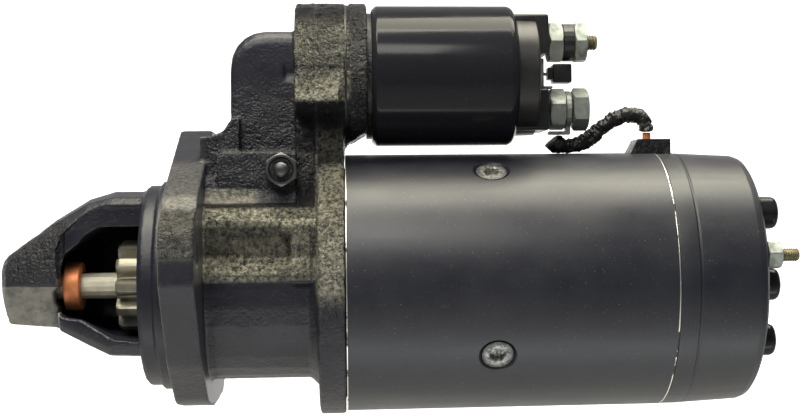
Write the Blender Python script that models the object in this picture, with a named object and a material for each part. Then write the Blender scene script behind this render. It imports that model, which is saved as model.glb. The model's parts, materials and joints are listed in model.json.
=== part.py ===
"""A direct-drive starter motor with its solenoid on top.

Every size below is in millimetres; body() turns each finished mesh into metres.
The origin is on the shaft axis, in the front face of the mounting flange.
+X runs to the commutator end, -X to the pinion nose, +Z up to the solenoid.
Angles around the shaft start at -Y and turn towards +Z.
"""
import math

import bmesh
import bpy
from mathutils import Matrix, Vector

MM = 0.001
GAP = 0.3
STEPS = 28
SMALL_STEPS = 12

# Drive end housing
NOSE_TIP_X = -75.0
NOSE_RECESS_Y = -17.0
PILOT_FRONT_X = -13.0
POCKET_Y = -39.5
PILOT_RADIUS = 44.5
PILOT_STEP_RADIUS = 46.3
FLANGE_THICKNESS = 14.5
FLANGE_HOLE_RADIUS = 5.5
FLANGE_HOLES = ((-63.0, 14.0), (52.0, -38.0), (21.0, 58.0))
BODY_RADIUS = 42.5
REAR_FLANGE_X = (62.5, 74.0)
REAR_FLANGE_RADIUS = 58.7
SPIGOT_RADIUS = 50.5
CLUTCH_BORE_RADIUS = 29.5
CHAMBER_HALF_WIDTH = 21.0
CHAMBER_TOP = 111.5
CHAMBER_X = (25.0, 56.0)

# Solenoid
SOLENOID_Z = 93.0
SOLENOID_BOSS_RADIUS = 32.7
BOSS_X = (53.0, 75.0)
SOLENOID_FLANGE_X = (75.3, 84.6)
CASE_X = (86.5, 151.0)
CASE_RADIUS = 31.7
CAP_RADIUS = 27.3
CAP_REAR_X = 166.4
STUD_OFFSET = 15.3
STUD_RADIUS = 3.6
TERMINAL_NUT_ACROSS = 17.0

# Yoke and field
YOKE_X = (74.7, 215.0)
YOKE_RADIUS = 57.5
YOKE_BORE = 51.0
POLE_X = (97.0, 181.0)
POLE_BORE = 38.0
POLE_HALF_ANGLE = 32.0
FIRST_POLE_ANGLE = -31.0
POLE_SCREW_X = 138.0
BOLT_CIRCLE = 46.6
BOLT_RADIUS = 2.9

# Rear cap
CAP_LIP_X = (215.4, 224.0)
CAP_END_X = 255.0
CAP_BORE = 51.5
CAP_SCREWS = ((42.0, 44.0), (-3.0, 35.0), (-44.0, 38.5), (138.0, 44.0))

# Shaft line
SHAFT_RADIUS = 5.6
SPLINE_RADIUS = 6.9
CORE_SHAFT_RADIUS = 8.5
ARMATURE_RADIUS = 36.5
ARMATURE_SLOTS = 11
COMMUTATOR_RADIUS = 22.0
BRUSH_X = (200.0, 222.0)
PINION_TEETH = 11
PINION_TIP_RADIUS = 20.3
PINION_ROOT_RADIUS = 14.9
PINION_X = (-25.4, -3.0)
STOP_RING_X = (-49.4, -42.2)
STOP_RING_RADIUS = 10.8
PINION_CLEARANCE_X = (-41.3, -7.0)
COLLAR_X = (47.0, 63.2)
GROOVE_X = 55.1

# Shift lever and plunger
PIVOT_X = 47.4
PIVOT_Z = 50.1
LEVER_TIP_X = 41.0
PLUNGER_RADIUS = 12.5

LOOKS = {
    "black_casting": ((0.018, 0.018, 0.019, 1.0), 0.45, 0.0),
    "black_paint": ((0.020, 0.020, 0.021, 1.0), 0.35, 0.0),
    "black_gloss": ((0.012, 0.012, 0.013, 1.0), 0.22, 0.0),
    "zinc_plate": ((0.62, 0.62, 0.60, 1.0), 0.32, 1.0),
    "bare_steel": ((0.48, 0.46, 0.42, 1.0), 0.35, 1.0),
    "dark_steel": ((0.16, 0.16, 0.17, 1.0), 0.45, 1.0),
    "copper": ((0.78, 0.33, 0.16, 1.0), 0.35, 1.0),
    "brass": ((0.70, 0.50, 0.22, 1.0), 0.35, 1.0),
    "phenolic": ((0.014, 0.014, 0.015, 1.0), 0.42, 0.0),
    "rubber": ((0.020, 0.020, 0.020, 1.0), 0.75, 0.0),
    "carbon": ((0.05, 0.045, 0.045, 1.0), 0.60, 0.2),
}


def look(name):
    """One Principled material for one object."""
    colour, roughness, metallic = LOOKS[name]
    material = bpy.data.materials.new(name)
    material.use_nodes = True
    shader = material.node_tree.nodes["Principled BSDF"]
    shader.inputs["Base Color"].default_value = colour
    shader.inputs["Roughness"].default_value = roughness
    shader.inputs["Metallic"].default_value = metallic
    return material


def radians_between(start, end, steps):
    return [math.radians(start + (end - start) * k / steps) for k in range(steps + 1)]


def at_angle(radius, degrees):
    """(y, z) on a circle round the shaft: 0 degrees is -Y and 90 is +Z."""
    angle = math.radians(degrees)
    return -radius * math.cos(angle), radius * math.sin(angle)


# Meshes, in millimetres


def turned(profile, centre=(0.0, 0.0), steps=STEPS):
    """A solid of revolution round a line along X; the profile is a list of (x, radius).

    A profile whose two ends have radius 0 is a plain solid, any other is a closed ring."""
    bm = bmesh.new()
    rings = []
    for x, radius in profile:
        if radius == 0.0:
            rings.append([bm.verts.new((x, centre[0], centre[1]))])
            continue
        ring = []
        for k in range(steps):
            y, z = at_angle(radius, 360.0 * k / steps)
            ring.append(bm.verts.new((x, centre[0] + y, centre[1] + z)))
        rings.append(ring)
    pairs = list(zip(rings, rings[1:]))
    if profile[0][1] > 0.0:
        pairs.append((rings[-1], rings[0]))
    for a, b in pairs:
        for k in range(steps):
            n = (k + 1) % steps
            corners = [a[k % len(a)], a[n % len(a)], b[n % len(b)], b[k % len(b)]]
            bm.faces.new(list(dict.fromkeys(corners)))
    return bm


def prism(outline, start, end, axis="X"):
    """An outline swept along an axis: (y, z) points along X, or (x, z) points along Y."""
    bm = bmesh.new()
    loops = []
    for depth in (start, end):
        if axis == "X":
            loops.append([bm.verts.new((depth, a, b)) for a, b in outline])
        else:
            loops.append([bm.verts.new((a, depth, b)) for a, b in outline])
    bm.faces.new(loops[0])
    bm.faces.new(loops[1])
    for k in range(len(outline)):
        n = (k + 1) % len(outline)
        bm.faces.new((loops[0][k], loops[0][n], loops[1][n], loops[1][k]))
    return bm


def lofted(sections):
    """A solid through sections of equal point count; each is a list of (x, y, z)."""
    bm = bmesh.new()
    loops = [[bm.verts.new(point) for point in section] for section in sections]
    bm.faces.new(loops[0])
    bm.faces.new(loops[-1])
    for a, b in zip(loops, loops[1:]):
        for k in range(len(a)):
            n = (k + 1) % len(a)
            bm.faces.new((a[k], a[n], b[n], b[k]))
    return bm


def block(low, high):
    outline = [(low[1], low[2]), (high[1], low[2]), (high[1], high[2]), (low[1], high[2])]
    return prism(outline, low[0], high[0])


def rounded(points, radius, steps=3):
    """The outline with each corner replaced by an arc; radius is one value or one per corner."""
    radii = radius if isinstance(radius, (list, tuple)) else [radius] * len(points)
    out = []
    for k, corner in enumerate(points):
        here = Vector(corner)
        before = Vector(points[k - 1]) - here
        after = Vector(points[(k + 1) % len(points)]) - here
        half = before.angle(after) / 2
        reach = min(radii[k] / math.tan(half), before.length * 0.49, after.length * 0.49)
        if reach < 0.05:
            out.append(tuple(here))
            continue
        arc_radius = reach * math.tan(half)
        inward = (before.normalized() + after.normalized()).normalized()
        middle = here + inward * (arc_radius / math.sin(half))
        first = here + before.normalized() * reach - middle
        last = here + after.normalized() * reach - middle
        for j in range(steps + 1):
            swing = first.lerp(last, j / steps).normalized() * arc_radius
            out.append(tuple(middle + swing))
    return out


def hexagon(across, turn=0.0):
    """Corners of a hexagon, the first at the angle turn from -Y."""
    corner = across / math.sqrt(3)
    return [at_angle(corner, turn + 60.0 * k) for k in range(6)]


def moved(outline, by):
    return [(a + by[0], b + by[1]) for a, b in outline]


def sector(inner, outer, start, end, x0, x1, steps=6):
    """A bar bounded by two arcs round the shaft, between two angles in degrees."""
    angles = [start + (end - start) * k / steps for k in range(steps + 1)]
    outline = [at_angle(outer, a) for a in angles] + [at_angle(inner, a) for a in reversed(angles)]
    return prism(outline, x0, x1)


def turned_about(bm, axis, degrees, centre=(0.0, 0.0, 0.0)):
    bmesh.ops.rotate(
        bm, verts=bm.verts, cent=centre, matrix=Matrix.Rotation(math.radians(degrees), 3, axis)
    )
    return bm


def radial(profile, x, degrees, steps=SMALL_STEPS):
    """A turned solid whose axis points out from the shaft; its profile is (distance, radius)."""
    bm = turned(profile, steps=steps)
    turned_about(bm, "Y", -90.0)
    turned_about(bm, "X", 90.0 - degrees)
    bmesh.ops.translate(bm, verts=bm.verts, vec=(x, 0.0, 0.0))
    return bm


def cylinder(x0, x1, radius, centre=(0.0, 0.0), steps=SMALL_STEPS):
    return turned([(x0, 0.0), (x0, radius), (x1, radius), (x1, 0.0)], centre, steps)


def tube(x0, x1, inner, outer, centre=(0.0, 0.0), steps=STEPS):
    return turned([(x0, inner), (x0, outer), (x1, outer), (x1, inner)], centre, steps)


def swept_y(y0, y1, radius, centre, steps=SMALL_STEPS):
    """A cylinder along Y; centre is (x, z)."""
    outline = [
        (centre[0] + radius * math.cos(a), centre[1] + radius * math.sin(a))
        for a in radians_between(0.0, 360.0, steps)[:-1]
    ]
    return prism(outline, y0, y1, "Y")


# Objects


def helper(bm):
    mesh = bpy.data.meshes.new("helper")
    bmesh.ops.recalc_face_normals(bm, faces=bm.faces)
    bm.to_mesh(mesh)
    bm.free()
    obj = bpy.data.objects.new("helper", mesh)
    bpy.context.scene.collection.objects.link(obj)
    return obj


def combined(base, added=(), cut=(), kept=()):
    """The base with solids added, cut away and kept inside, one exact boolean at a time."""
    obj = helper(base)
    work = [(bm, "UNION") for bm in added] + [(bm, "DIFFERENCE") for bm in cut]
    work += [(bm, "INTERSECT") for bm in kept]
    for bm, operation in work:
        other = helper(bm)
        step = obj.modifiers.new("step", "BOOLEAN")
        step.operation = operation
        step.solver = "EXACT"
        step.object = other
        graph = bpy.context.evaluated_depsgraph_get()
        mesh = bpy.data.meshes.new_from_object(obj.evaluated_get(graph))
        obj.modifiers.clear()
        obj.data = mesh
        bpy.data.objects.remove(other)
    out = bmesh.new()
    out.from_mesh(obj.data)
    bpy.data.objects.remove(obj)
    bmesh.ops.dissolve_degenerate(out, dist=0.002, edges=out.edges)
    return out


def joint_empty(name, place, parent=None):
    """An empty on a joint's axis; place is in millimetres."""
    empty = bpy.data.objects.new(name, None)
    bpy.context.scene.collection.objects.link(empty)
    location = Vector(place) * MM
    if parent is not None:
        empty.parent = parent
        location = location - parent.matrix_world.translation
    empty.location = location
    bpy.context.view_layer.update()
    return empty


def body(name, bm, look_name, parent=None):
    """The node: the mesh in metres, with its origin on its parent's joint axis."""
    bmesh.ops.recalc_face_normals(bm, faces=bm.faces)
    origin = parent.matrix_world.translation if parent is not None else Vector()
    for vert in bm.verts:
        vert.co = vert.co * MM - origin
    mesh = bpy.data.meshes.new(name)
    bm.to_mesh(mesh)
    bm.free()
    mesh.shade_smooth()
    mesh.set_sharp_from_angle(angle=math.radians(32.0))
    obj = bpy.data.objects.new(name, mesh)
    bpy.context.scene.collection.objects.link(obj)
    obj.data.materials.append(look(look_name))
    obj.parent = parent
    return obj


def clear_scene():
    for obj in list(bpy.data.objects):
        bpy.data.objects.remove(obj, do_unlink=True)


# Drive end housing


def nose_section(x, top, bottom, near, far, radius):
    corners = [(near, bottom), (far, bottom), (far, top), (near, top)]
    return [(x, y, z) for y, z in rounded(corners, radius, steps=3)]


def nose_outer():
    return lofted(
        [
            nose_section(NOSE_TIP_X, 11.0, -4.0, -12.0, 12.0, 4.0),
            nose_section(NOSE_TIP_X + 3.0, 14.5, -15.8, -16.5, 16.5, 6.0),
            nose_section(-52.0, 29.7, -17.6, -19.5, 25.0, [6.0, 8.0, 12.0, 13.0]),
            nose_section(-38.0, 38.5, -24.5, -25.0, 32.0, [8.0, 12.0, 22.0, 20.0]),
            nose_section(-27.0, 41.8, -29.2, -30.0, 35.0, [8.0, 14.0, 28.0, 26.0]),
            nose_section(-6.0, 41.8, -30.0, -30.0, 35.0, [8.0, 14.0, 28.0, 26.0]),
        ]
    )


def nose_inner():
    """The deep hollow round the pinion, with a thick roof left over it."""
    return lofted(
        [
            nose_section(-51.0, 11.6, -11.7, -14.0, 14.0, [4.0, 6.0, 6.0, 4.0]),
            nose_section(-38.0, 22.9, -18.5, -20.0, 26.0, [5.0, 8.0, 12.0, 5.0]),
            nose_section(-32.0, 26.4, -21.0, -20.5, 28.0, [6.0, 10.0, 14.0, 6.0]),
            nose_section(-7.6, 26.4, -23.0, -21.0, 29.0, [6.0, 10.0, 16.0, 6.0]),
        ]
    )


def nose_recess():
    """The shallow step in the near face that runs round the top of the window."""
    outline = [
        (PILOT_FRONT_X, 35.4),
        (-34.7, 35.4),
        (-48.1, 23.0),
        (-50.5, 15.5),
        (-50.2, 4.0),
        (-30.0, 0.0),
        (PILOT_FRONT_X, 0.0),
    ]
    return prism(outline, -60.0, NOSE_RECESS_Y, "Y")


def nose_window():
    """The opening on the near side that the ring gear reaches through."""
    outline = [
        (PILOT_FRONT_X, 26.4),
        (-32.0, 26.4),
        (-38.4, 22.9),
        (-41.5, 19.1),
        (-47.3, 14.6),
        (-48.8, 8.0),
        (-48.9, 1.5),
        (-52.4, -1.5),
        (-52.0, -7.5),
        (-47.2, -12.6),
        (-39.0, -13.4),
        (-24.0, -21.8),
        (PILOT_FRONT_X, -23.0),
    ]
    return prism(outline, -60.0, 6.0, "Y")


def tip_facet():
    """The slanted lower near face of the nose tip."""
    outline = [(-30.0, 1.0), (-17.0, 1.0), (-9.5, -20.0), (-30.0, -20.0)]
    return prism(outline, NOSE_TIP_X - 1.0, -49.6)


def flange_plate():
    corners = [
        (-76.0, 3.0),
        (-76.0, 25.0),
        (-58.0, 39.0),
        (11.0, 69.5),
        (29.0, 69.5),
        (50.0, 38.0),
        (67.0, -28.0),
        (67.0, -46.0),
        (52.0, -55.0),
        (8.0, -55.5),
        (-20.0, -51.0),
        (-49.0, -31.0),
    ]
    radii = [5.0, 5.0, 12.0, 4.0, 6.0, 20.0, 12.0, 8.0, 8.0, 14.0, 24.0, 24.0]
    return prism(rounded(corners, radii), 0.0, FLANGE_THICKNESS)


def lever_chamber():
    """The tall block that covers the lever, round over its front top edge."""
    front, rear = CHAMBER_X
    edge_radius = 15.0
    tops = [
        (front + edge_radius * (1.0 - math.sin(a)), CHAMBER_TOP - edge_radius * (1.0 - math.cos(a)))
        for a in radians_between(90.0, 0.0, 5)
    ]
    sections = []
    for x, top in tops + [(rear, CHAMBER_TOP)]:
        half = CHAMBER_HALF_WIDTH - (CHAMBER_TOP - top) * 0.12
        corners = [(-half, 36.3), (half, 36.3), (half, top), (-half, top)]
        outline = rounded(corners, [0.0, 0.0, 6.0, 6.0])
        sections.append([(x, y, z) for y, z in outline])
    return lofted(sections)


def pivot_pads():
    """The raised blocks that carry the pivot bolt; the near one reaches further forward."""
    low, high = 43.0, 58.0
    rear = REAR_FLANGE_X[0] + 0.5
    pads = []
    for front, start, end in ((20.0, -33.0, 6.0), (25.0, 5.0, 33.0)):
        corners = [(front, low), (front, high), (rear, high), (rear, low)]
        pads.append(prism(rounded(corners, [2.0, 3.0, 3.0, 2.0]), start, end, "Y"))
    return pads


def front_web():
    """The rib that ties the lever chamber to the flange, clear of the top bolt's head."""
    outline = [
        (12.0, 40.0),
        (12.0, 65.0),
        (18.0, 65.6),
        (22.0, 67.6),
        (25.6, 73.0),
        (29.0, 73.0),
        (29.0, 40.0),
    ]
    return prism(outline, -24.0, 8.0, "Y")


def solenoid_ear():
    """The ledge across the boss that the two solenoid screws go into."""
    near = [(-28.0, 92.4), (-31.8, 91.0), (-35.2, 81.0), (-35.2, 78.6), (-29.5, 75.5)]
    far = [(-y, z) for y, z in reversed(near)]
    return prism(near + far, BOSS_X[0] + 0.4, BOSS_X[1] - 3.0)


def pocket_cuts():
    """The pocket for the near mounting bolt's head, with a sloped sill below it."""
    recess = block((FLANGE_THICKNESS + 7.0, -60.0, 9.5), (51.5, POCKET_Y, 23.0))
    sill = prism(
        [(-60.0, 6.4), (-44.4, 6.4), (POCKET_Y, 14.2), (POCKET_Y, 21.5), (-43.4, 28.5), (-60.0, 28.5)],
        FLANGE_THICKNESS + 1.0,
        47.5,
    )
    return [recess, sill]


def body_shoulder():
    """The cast shoulder between the round body and the pad, on both sides."""
    outline = [
        (-44.2, 5.0),
        (-44.2, 27.0),
        (-40.0, 34.0),
        (-34.0, 38.0),
        (-31.0, 47.0),
        (31.0, 47.0),
        (34.0, 38.0),
        (40.0, 30.0),
        (41.0, 5.0),
    ]
    return prism(outline, 12.0, REAR_FLANGE_X[0] + 0.5)


def shift_slot():
    """The hollow that the lever swings in, from the shaft line up to the plunger."""
    fork = block((31.5, -24.6, 0.0), (65.0, 24.6, 42.0))
    arm = block((29.5, -7.0, 40.0), (64.0, 7.0, SOLENOID_Z))
    tongue = block((29.0, -11.0, SOLENOID_Z - 10.0), (64.0, 11.0, SOLENOID_Z + 10.0))
    return [fork, arm, tongue]


def housing():
    centre = (0.0, SOLENOID_Z)
    rings = turned(
        [
            (PILOT_FRONT_X, 0.0),
            (PILOT_FRONT_X, PILOT_RADIUS - 1.3),
            (PILOT_FRONT_X + 1.3, PILOT_RADIUS),
            (-6.0, PILOT_RADIUS),
            (-6.0, PILOT_STEP_RADIUS),
            (0.5, PILOT_STEP_RADIUS),
            (0.5, BODY_RADIUS),
            (REAR_FLANGE_X[0] - 4.0, BODY_RADIUS),
            (REAR_FLANGE_X[0], BODY_RADIUS + 4.0),
            (REAR_FLANGE_X[0], REAR_FLANGE_RADIUS - 1.0),
            (REAR_FLANGE_X[0] + 1.0, REAR_FLANGE_RADIUS),
            (REAR_FLANGE_X[1], REAR_FLANGE_RADIUS),
            (REAR_FLANGE_X[1], SPIGOT_RADIUS),
            (79.0, SPIGOT_RADIUS),
            (79.0, 0.0),
        ],
        steps=32,
    )
    boss = turned(
        [
            (BOSS_X[0], 0.0),
            (BOSS_X[0], SOLENOID_BOSS_RADIUS - 1.0),
            (BOSS_X[0] + 1.0, SOLENOID_BOSS_RADIUS),
            (BOSS_X[1], SOLENOID_BOSS_RADIUS),
            (BOSS_X[1], 0.0),
        ],
        centre,
    )
    neck = block((BOSS_X[0] + 0.6, -24.0, 38.0), (REAR_FLANGE_X[1], 24.0, SOLENOID_Z))
    post = block((51.8, -46.0, 3.0), (59.6, -36.0, 28.0))
    added = [nose_outer(), flange_plate(), lever_chamber(), *pivot_pads(), body_shoulder()]
    added += [boss, neck, solenoid_ear(), post, front_web()]
    bore = cylinder(-9.0, 66.0, CLUTCH_BORE_RADIUS, steps=20)
    rear_bore = cylinder(66.0, 90.0, 42.0, steps=24)
    plunger_bore = cylinder(58.0, 80.0, 16.6, centre, 18)
    bushing_bore = cylinder(-71.4, -50.0, 8.7)
    pivot_hole = swept_y(-60.0, 60.0, 4.4, (PIVOT_X, PIVOT_Z))
    pinion_clearance = cylinder(*PINION_CLEARANCE_X, PINION_TIP_RADIUS + 0.6, steps=32)
    cut = [nose_inner(), pinion_clearance, nose_recess(), nose_window(), tip_facet()]
    cut += [bushing_bore, *pocket_cuts()]
    cut += [bore, rear_bore, plunger_bore, pivot_hole] + shift_slot()
    cut += [cylinder(-5.0, 30.0, FLANGE_HOLE_RADIUS, place) for place in FLANGE_HOLES]
    for side in (-1.0, 1.0):
        place = (side * 25.0, SOLENOID_Z)
        cut.append(cylinder(BOSS_X[0] - 5.0, BOSS_X[0] + 6.0, 5.6, place))
        cut.append(cylinder(BOSS_X[0], 80.0, 2.8, place))
    for degrees in (14.0, 194.0):
        place = at_angle(BOLT_CIRCLE, degrees)
        cut.append(cylinder(66.5, 90.0, BOLT_RADIUS + GAP, place))
    body("drive_end_housing", combined(rings, added, cut), "black_casting")


# Yoke, poles and rear cap


def pole_angles():
    return [FIRST_POLE_ANGLE + 90.0 * k for k in range(4)]


def yoke():
    shell = turned(
        [
            (YOKE_X[0], YOKE_BORE),
            (YOKE_X[0], YOKE_RADIUS - 0.6),
            (YOKE_X[0] + 0.6, YOKE_RADIUS),
            (YOKE_X[1] - 0.6, YOKE_RADIUS),
            (YOKE_X[1], YOKE_RADIUS - 0.6),
            (YOKE_X[1], YOKE_BORE),
        ],
        steps=32,
    )
    countersink = [(45.0, 0.0), (45.0, 4.4), (53.4, 4.4), (57.4, 8.25), (60.0, 8.25), (60.0, 0.0)]
    cut = [radial(countersink, POLE_SCREW_X, a) for a in pole_angles()]
    cut.append(block((203.9, -8.3, 40.0), (220.0, 8.3, 70.0)))
    body("yoke_tube", combined(shell, (), cut), "black_paint")


def poles():
    for k, angle in enumerate(pole_angles(), 1):
        shoe = sector(
            POLE_BORE,
            YOKE_BORE - GAP,
            angle - POLE_HALF_ANGLE,
            angle + POLE_HALF_ANGLE,
            POLE_X[0],
            POLE_X[1],
            steps=8,
        )
        hole = radial([(44.5, 0.0), (44.5, 4.4), (56.0, 4.4), (56.0, 0.0)], POLE_SCREW_X, angle, 12)
        body(f"pole_shoe_{k}", combined(shoe, (), [hole]), "dark_steel")
        screw = radial(
            [(45.0, 0.0), (45.0, 4.0), (54.0, 4.0), (56.2, 6.5), (56.9, 6.5), (56.9, 0.0)],
            POLE_SCREW_X,
            angle,
        )
        socket = radial([(53.8, 0.0), (53.8, 3.4), (60.0, 3.4), (60.0, 0.0)], POLE_SCREW_X, angle, 6)
        body(f"pole_screw_{k}", combined(screw, (), [socket]), "black_paint")


def field_winding():
    """One racetrack coil round each pole, joined by a thin ring at the drive end."""
    coils = []
    for angle in pole_angles():
        for x0, x1 in ((89.0, 96.4), (181.6, 189.0)):
            coils.append(sector(41.2, 50.2, angle - 39.5, angle + 39.5, x0, x1, steps=5))
        for side in (-1.0, 1.0):
            bar = sorted((angle + side * 33.2, angle + side * 39.0))
            coils.append(sector(41.8, 49.6, bar[0], bar[1], 90.0, 188.0, steps=2))
    ring = tube(87.8, 91.2, 42.0, 43.3, steps=20)
    body("field_winding", combined(ring, coils), "copper")


def commutator_end():
    outer = turned(
        [
            (CAP_LIP_X[0], 0.0),
            (CAP_LIP_X[0], YOKE_RADIUS - 0.6),
            (CAP_LIP_X[0] + 0.6, YOKE_RADIUS),
            (CAP_LIP_X[1], YOKE_RADIUS),
            (CAP_LIP_X[1] + 0.3, YOKE_RADIUS - 0.7),
            (CAP_END_X - 3.2, YOKE_RADIUS - 1.9),
            (CAP_END_X - 1.0, YOKE_RADIUS - 3.0),
            (CAP_END_X, YOKE_RADIUS - 5.0),
            (CAP_END_X, 14.0),
            (CAP_END_X + 2.5, 12.0),
            (CAP_END_X + 2.5, 0.0),
        ],
        steps=32,
    )
    hollow = turned(
        [
            (CAP_LIP_X[0] - 5.0, 0.0),
            (CAP_LIP_X[0] - 5.0, CAP_BORE),
            (CAP_END_X - 7.0, CAP_BORE),
            (CAP_END_X - 4.5, CAP_BORE - 3.0),
            (CAP_END_X - 4.5, 15.0),
            (229.6, 13.0),
            (229.6, 0.0),
        ]
    )
    cut = [hollow, cylinder(220.0, 249.8, 8.6)]
    cut.append(block((200.0, -8.3, 40.0), (222.7, 8.3, 70.0)))
    for degrees in (14.0, 194.0):
        cut.append(cylinder(245.0, 260.0, BOLT_RADIUS + GAP, at_angle(BOLT_CIRCLE, degrees)))
    for degrees, radius in CAP_SCREWS:
        cut.append(cylinder(245.0, 260.0, 2.7, at_angle(radius, degrees)))
    body("commutator_end_cap", combined(outer, (), cut), "black_paint")
    body("rear_bushing", tube(230.0, 249.4, 6.3, 8.3, steps=24), "brass")


def fasteners():
    for k, degrees in enumerate((14.0, 194.0), 1):
        place = at_angle(BOLT_CIRCLE, degrees)
        rod = turned(
            [(67.0, 0.0), (67.0, BOLT_RADIUS), (268.6, BOLT_RADIUS), (269.6, 2.0), (269.6, 0.0)],
            place,
            12,
        )
        body(f"through_bolt_{k}", rod, "dark_steel")
        nut = prism(moved(hexagon(11.0, 10.0), place), CAP_END_X + GAP, CAP_END_X + 6.5)
        hole = cylinder(250.0, 280.0, BOLT_RADIUS + GAP, place, 12)
        body(f"through_nut_{k}", combined(nut, (), [hole]), "zinc_plate")
    for k, (degrees, radius) in enumerate(CAP_SCREWS, 1):
        place = at_angle(radius, degrees)
        screw = turned(
            [
                (229.6, 0.0),
                (229.6, 2.4),
                (CAP_END_X + GAP, 2.4),
                (CAP_END_X + GAP, 7.4),
                (CAP_END_X + 6.0, 7.4),
                (CAP_END_X + 8.0, 6.2),
                (CAP_END_X + 8.6, 4.0),
                (CAP_END_X + 8.6, 0.0),
            ],
            place,
            16,
        )
        body(f"cap_screw_{k}", screw, "black_gloss")


def brush_gear(root):
    """Brush plate with four holders, and a brush that slides towards the shaft in each."""
    plate = tube(226.0, 229.0, 24.0, 50.8)
    holders = []
    slots = []
    for k, angle in enumerate(pole_angles(), 1):
        turn = 90.0 - angle
        outer = block((BRUSH_X[0] - 2.5, -7.6, 24.0), (227.0, 7.6, 41.0))
        inner = block((BRUSH_X[0] - GAP, -5.3, 15.0), (BRUSH_X[1] + GAP, 5.3, 45.0))
        brush = block((BRUSH_X[0], -5.0, COMMUTATOR_RADIUS + 0.4), (BRUSH_X[1], 5.0, 36.0))
        holders.append(turned_about(outer, "X", turn))
        slots.append(turned_about(inner, "X", turn))
        y, z = at_angle(30.0, angle)
        empty = joint_empty(f"brush_slide_{k}_axis", (sum(BRUSH_X) / 2, y, z), root)
        body(f"brush_{k}", turned_about(brush, "X", turn), "carbon", empty)
    for degrees in (14.0, 194.0):
        slots.append(cylinder(220.0, 235.0, BOLT_RADIUS + 0.6, at_angle(BOLT_CIRCLE, degrees)))
    body("brush_plate", combined(plate, holders, slots), "zinc_plate")


# Shaft line


def gear_outline(teeth, root, tip, land=0.34, foot=0.62):
    """Straight-flanked teeth: land and foot are shares of the tooth pitch."""
    pitch = 360.0 / teeth
    outline = []
    for k in range(teeth):
        middle = pitch * k
        outline.append(at_angle(root, middle - pitch * foot / 2))
        outline.append(at_angle((root + tip) / 2 + 0.6, middle - pitch * (land + foot) / 4 - 0.6))
        outline.append(at_angle(tip, middle - pitch * land / 2))
        outline.append(at_angle(tip, middle + pitch * land / 2))
        outline.append(at_angle((root + tip) / 2 + 0.6, middle + pitch * (land + foot) / 4 + 0.6))
        outline.append(at_angle(root, middle + pitch * foot / 2))
    return outline


def armature(spin):
    shaft = turned(
        [
            (-70.5, 0.0),
            (-70.5, SHAFT_RADIUS - 0.6),
            (-69.9, SHAFT_RADIUS),
            (66.0, SHAFT_RADIUS + 0.4),
            (66.0, CORE_SHAFT_RADIUS),
            (228.0, CORE_SHAFT_RADIUS),
            (228.0, SHAFT_RADIUS + 0.3),
            (248.0, SHAFT_RADIUS + 0.3),
            (248.8, SHAFT_RADIUS - 0.5),
            (248.8, 0.0),
        ],
        steps=16,
    )
    spline = prism(gear_outline(8, 5.4, SPLINE_RADIUS, 0.4, 0.5), 4.0, 66.5)
    body("armature_shaft", combined(shaft, [spline]), "bare_steel", spin)
    ring_bore = SHAFT_RADIUS + GAP
    ring = turned(
        [
            (STOP_RING_X[0], ring_bore),
            (STOP_RING_X[0], STOP_RING_RADIUS - 0.8),
            (STOP_RING_X[0] + 0.8, STOP_RING_RADIUS),
            (STOP_RING_X[1] - 0.8, STOP_RING_RADIUS),
            (STOP_RING_X[1], STOP_RING_RADIUS - 0.8),
            (STOP_RING_X[1], ring_bore),
        ],
        steps=28,
    )
    body("stop_ring", ring, "copper", spin)
    slots = []
    bars = []
    for k in range(ARMATURE_SLOTS):
        turn = 360.0 * k / ARMATURE_SLOTS
        slots.append(turned_about(block((90.0, -2.6, 27.5), (190.0, 2.6, 40.0)), "X", turn))
        bars.append(turned_about(block((92.0, -2.2, 28.0), (188.0, 2.2, 34.6)), "X", turn))
    bore = CORE_SHAFT_RADIUS + GAP
    core = tube(99.0, 181.0, bore, ARMATURE_RADIUS, steps=30)
    body("armature_core", combined(core, (), slots), "dark_steel", spin)
    ends = [tube(181.4, 193.0, 21.0, 34.8, steps=20)] + bars
    winding = combined(tube(86.5, 98.6, 21.0, 34.8, steps=20), ends)
    body("armature_winding", winding, "copper", spin)
    body("commutator", tube(196.0, 223.0, bore, COMMUTATOR_RADIUS, steps=30), "copper", spin)


def drive(collar_axis, clutch_axis, pinion_axis):
    spool = turned(
        [
            (COLLAR_X[0], 10.4),
            (COLLAR_X[0], 19.0),
            (GROOVE_X - 4.9, 19.0),
            (GROOVE_X - 4.9, 14.2),
            (GROOVE_X + 4.9, 14.2),
            (GROOVE_X + 4.9, 19.0),
            (COLLAR_X[1], 19.0),
            (COLLAR_X[1], 10.4),
        ],
        steps=20,
    )
    body("shift_collar", spool, "dark_steel", collar_axis)
    clutch = turned(
        [
            (14.0, 14.0),
            (14.0, 25.0),
            (16.0, 27.0),
            (38.0, 27.0),
            (42.0, 24.0),
            (42.0, 10.0),
            (66.0, 10.0),
            (66.0, 7.5),
            (26.5, 7.5),
            (26.5, 14.0),
        ],
        steps=24,
    )
    body("clutch_shell", clutch, "dark_steel", clutch_axis)
    teeth = prism(gear_outline(PINION_TEETH, PINION_ROOT_RADIUS, PINION_TIP_RADIUS), *PINION_X)
    hub = cylinder(PINION_X[1] - 1.0, 26.0, 13.5, steps=24)
    cut = [
        cylinder(PINION_X[0] - 5.0, 0.0, SHAFT_RADIUS + 0.6, steps=24),
        cylinder(-2.0, 30.0, SPLINE_RADIUS + 0.5, steps=24),
    ]
    body("pinion", combined(teeth, [hub], cut), "bare_steel", pinion_axis)


# Lever, solenoid and terminals


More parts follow.
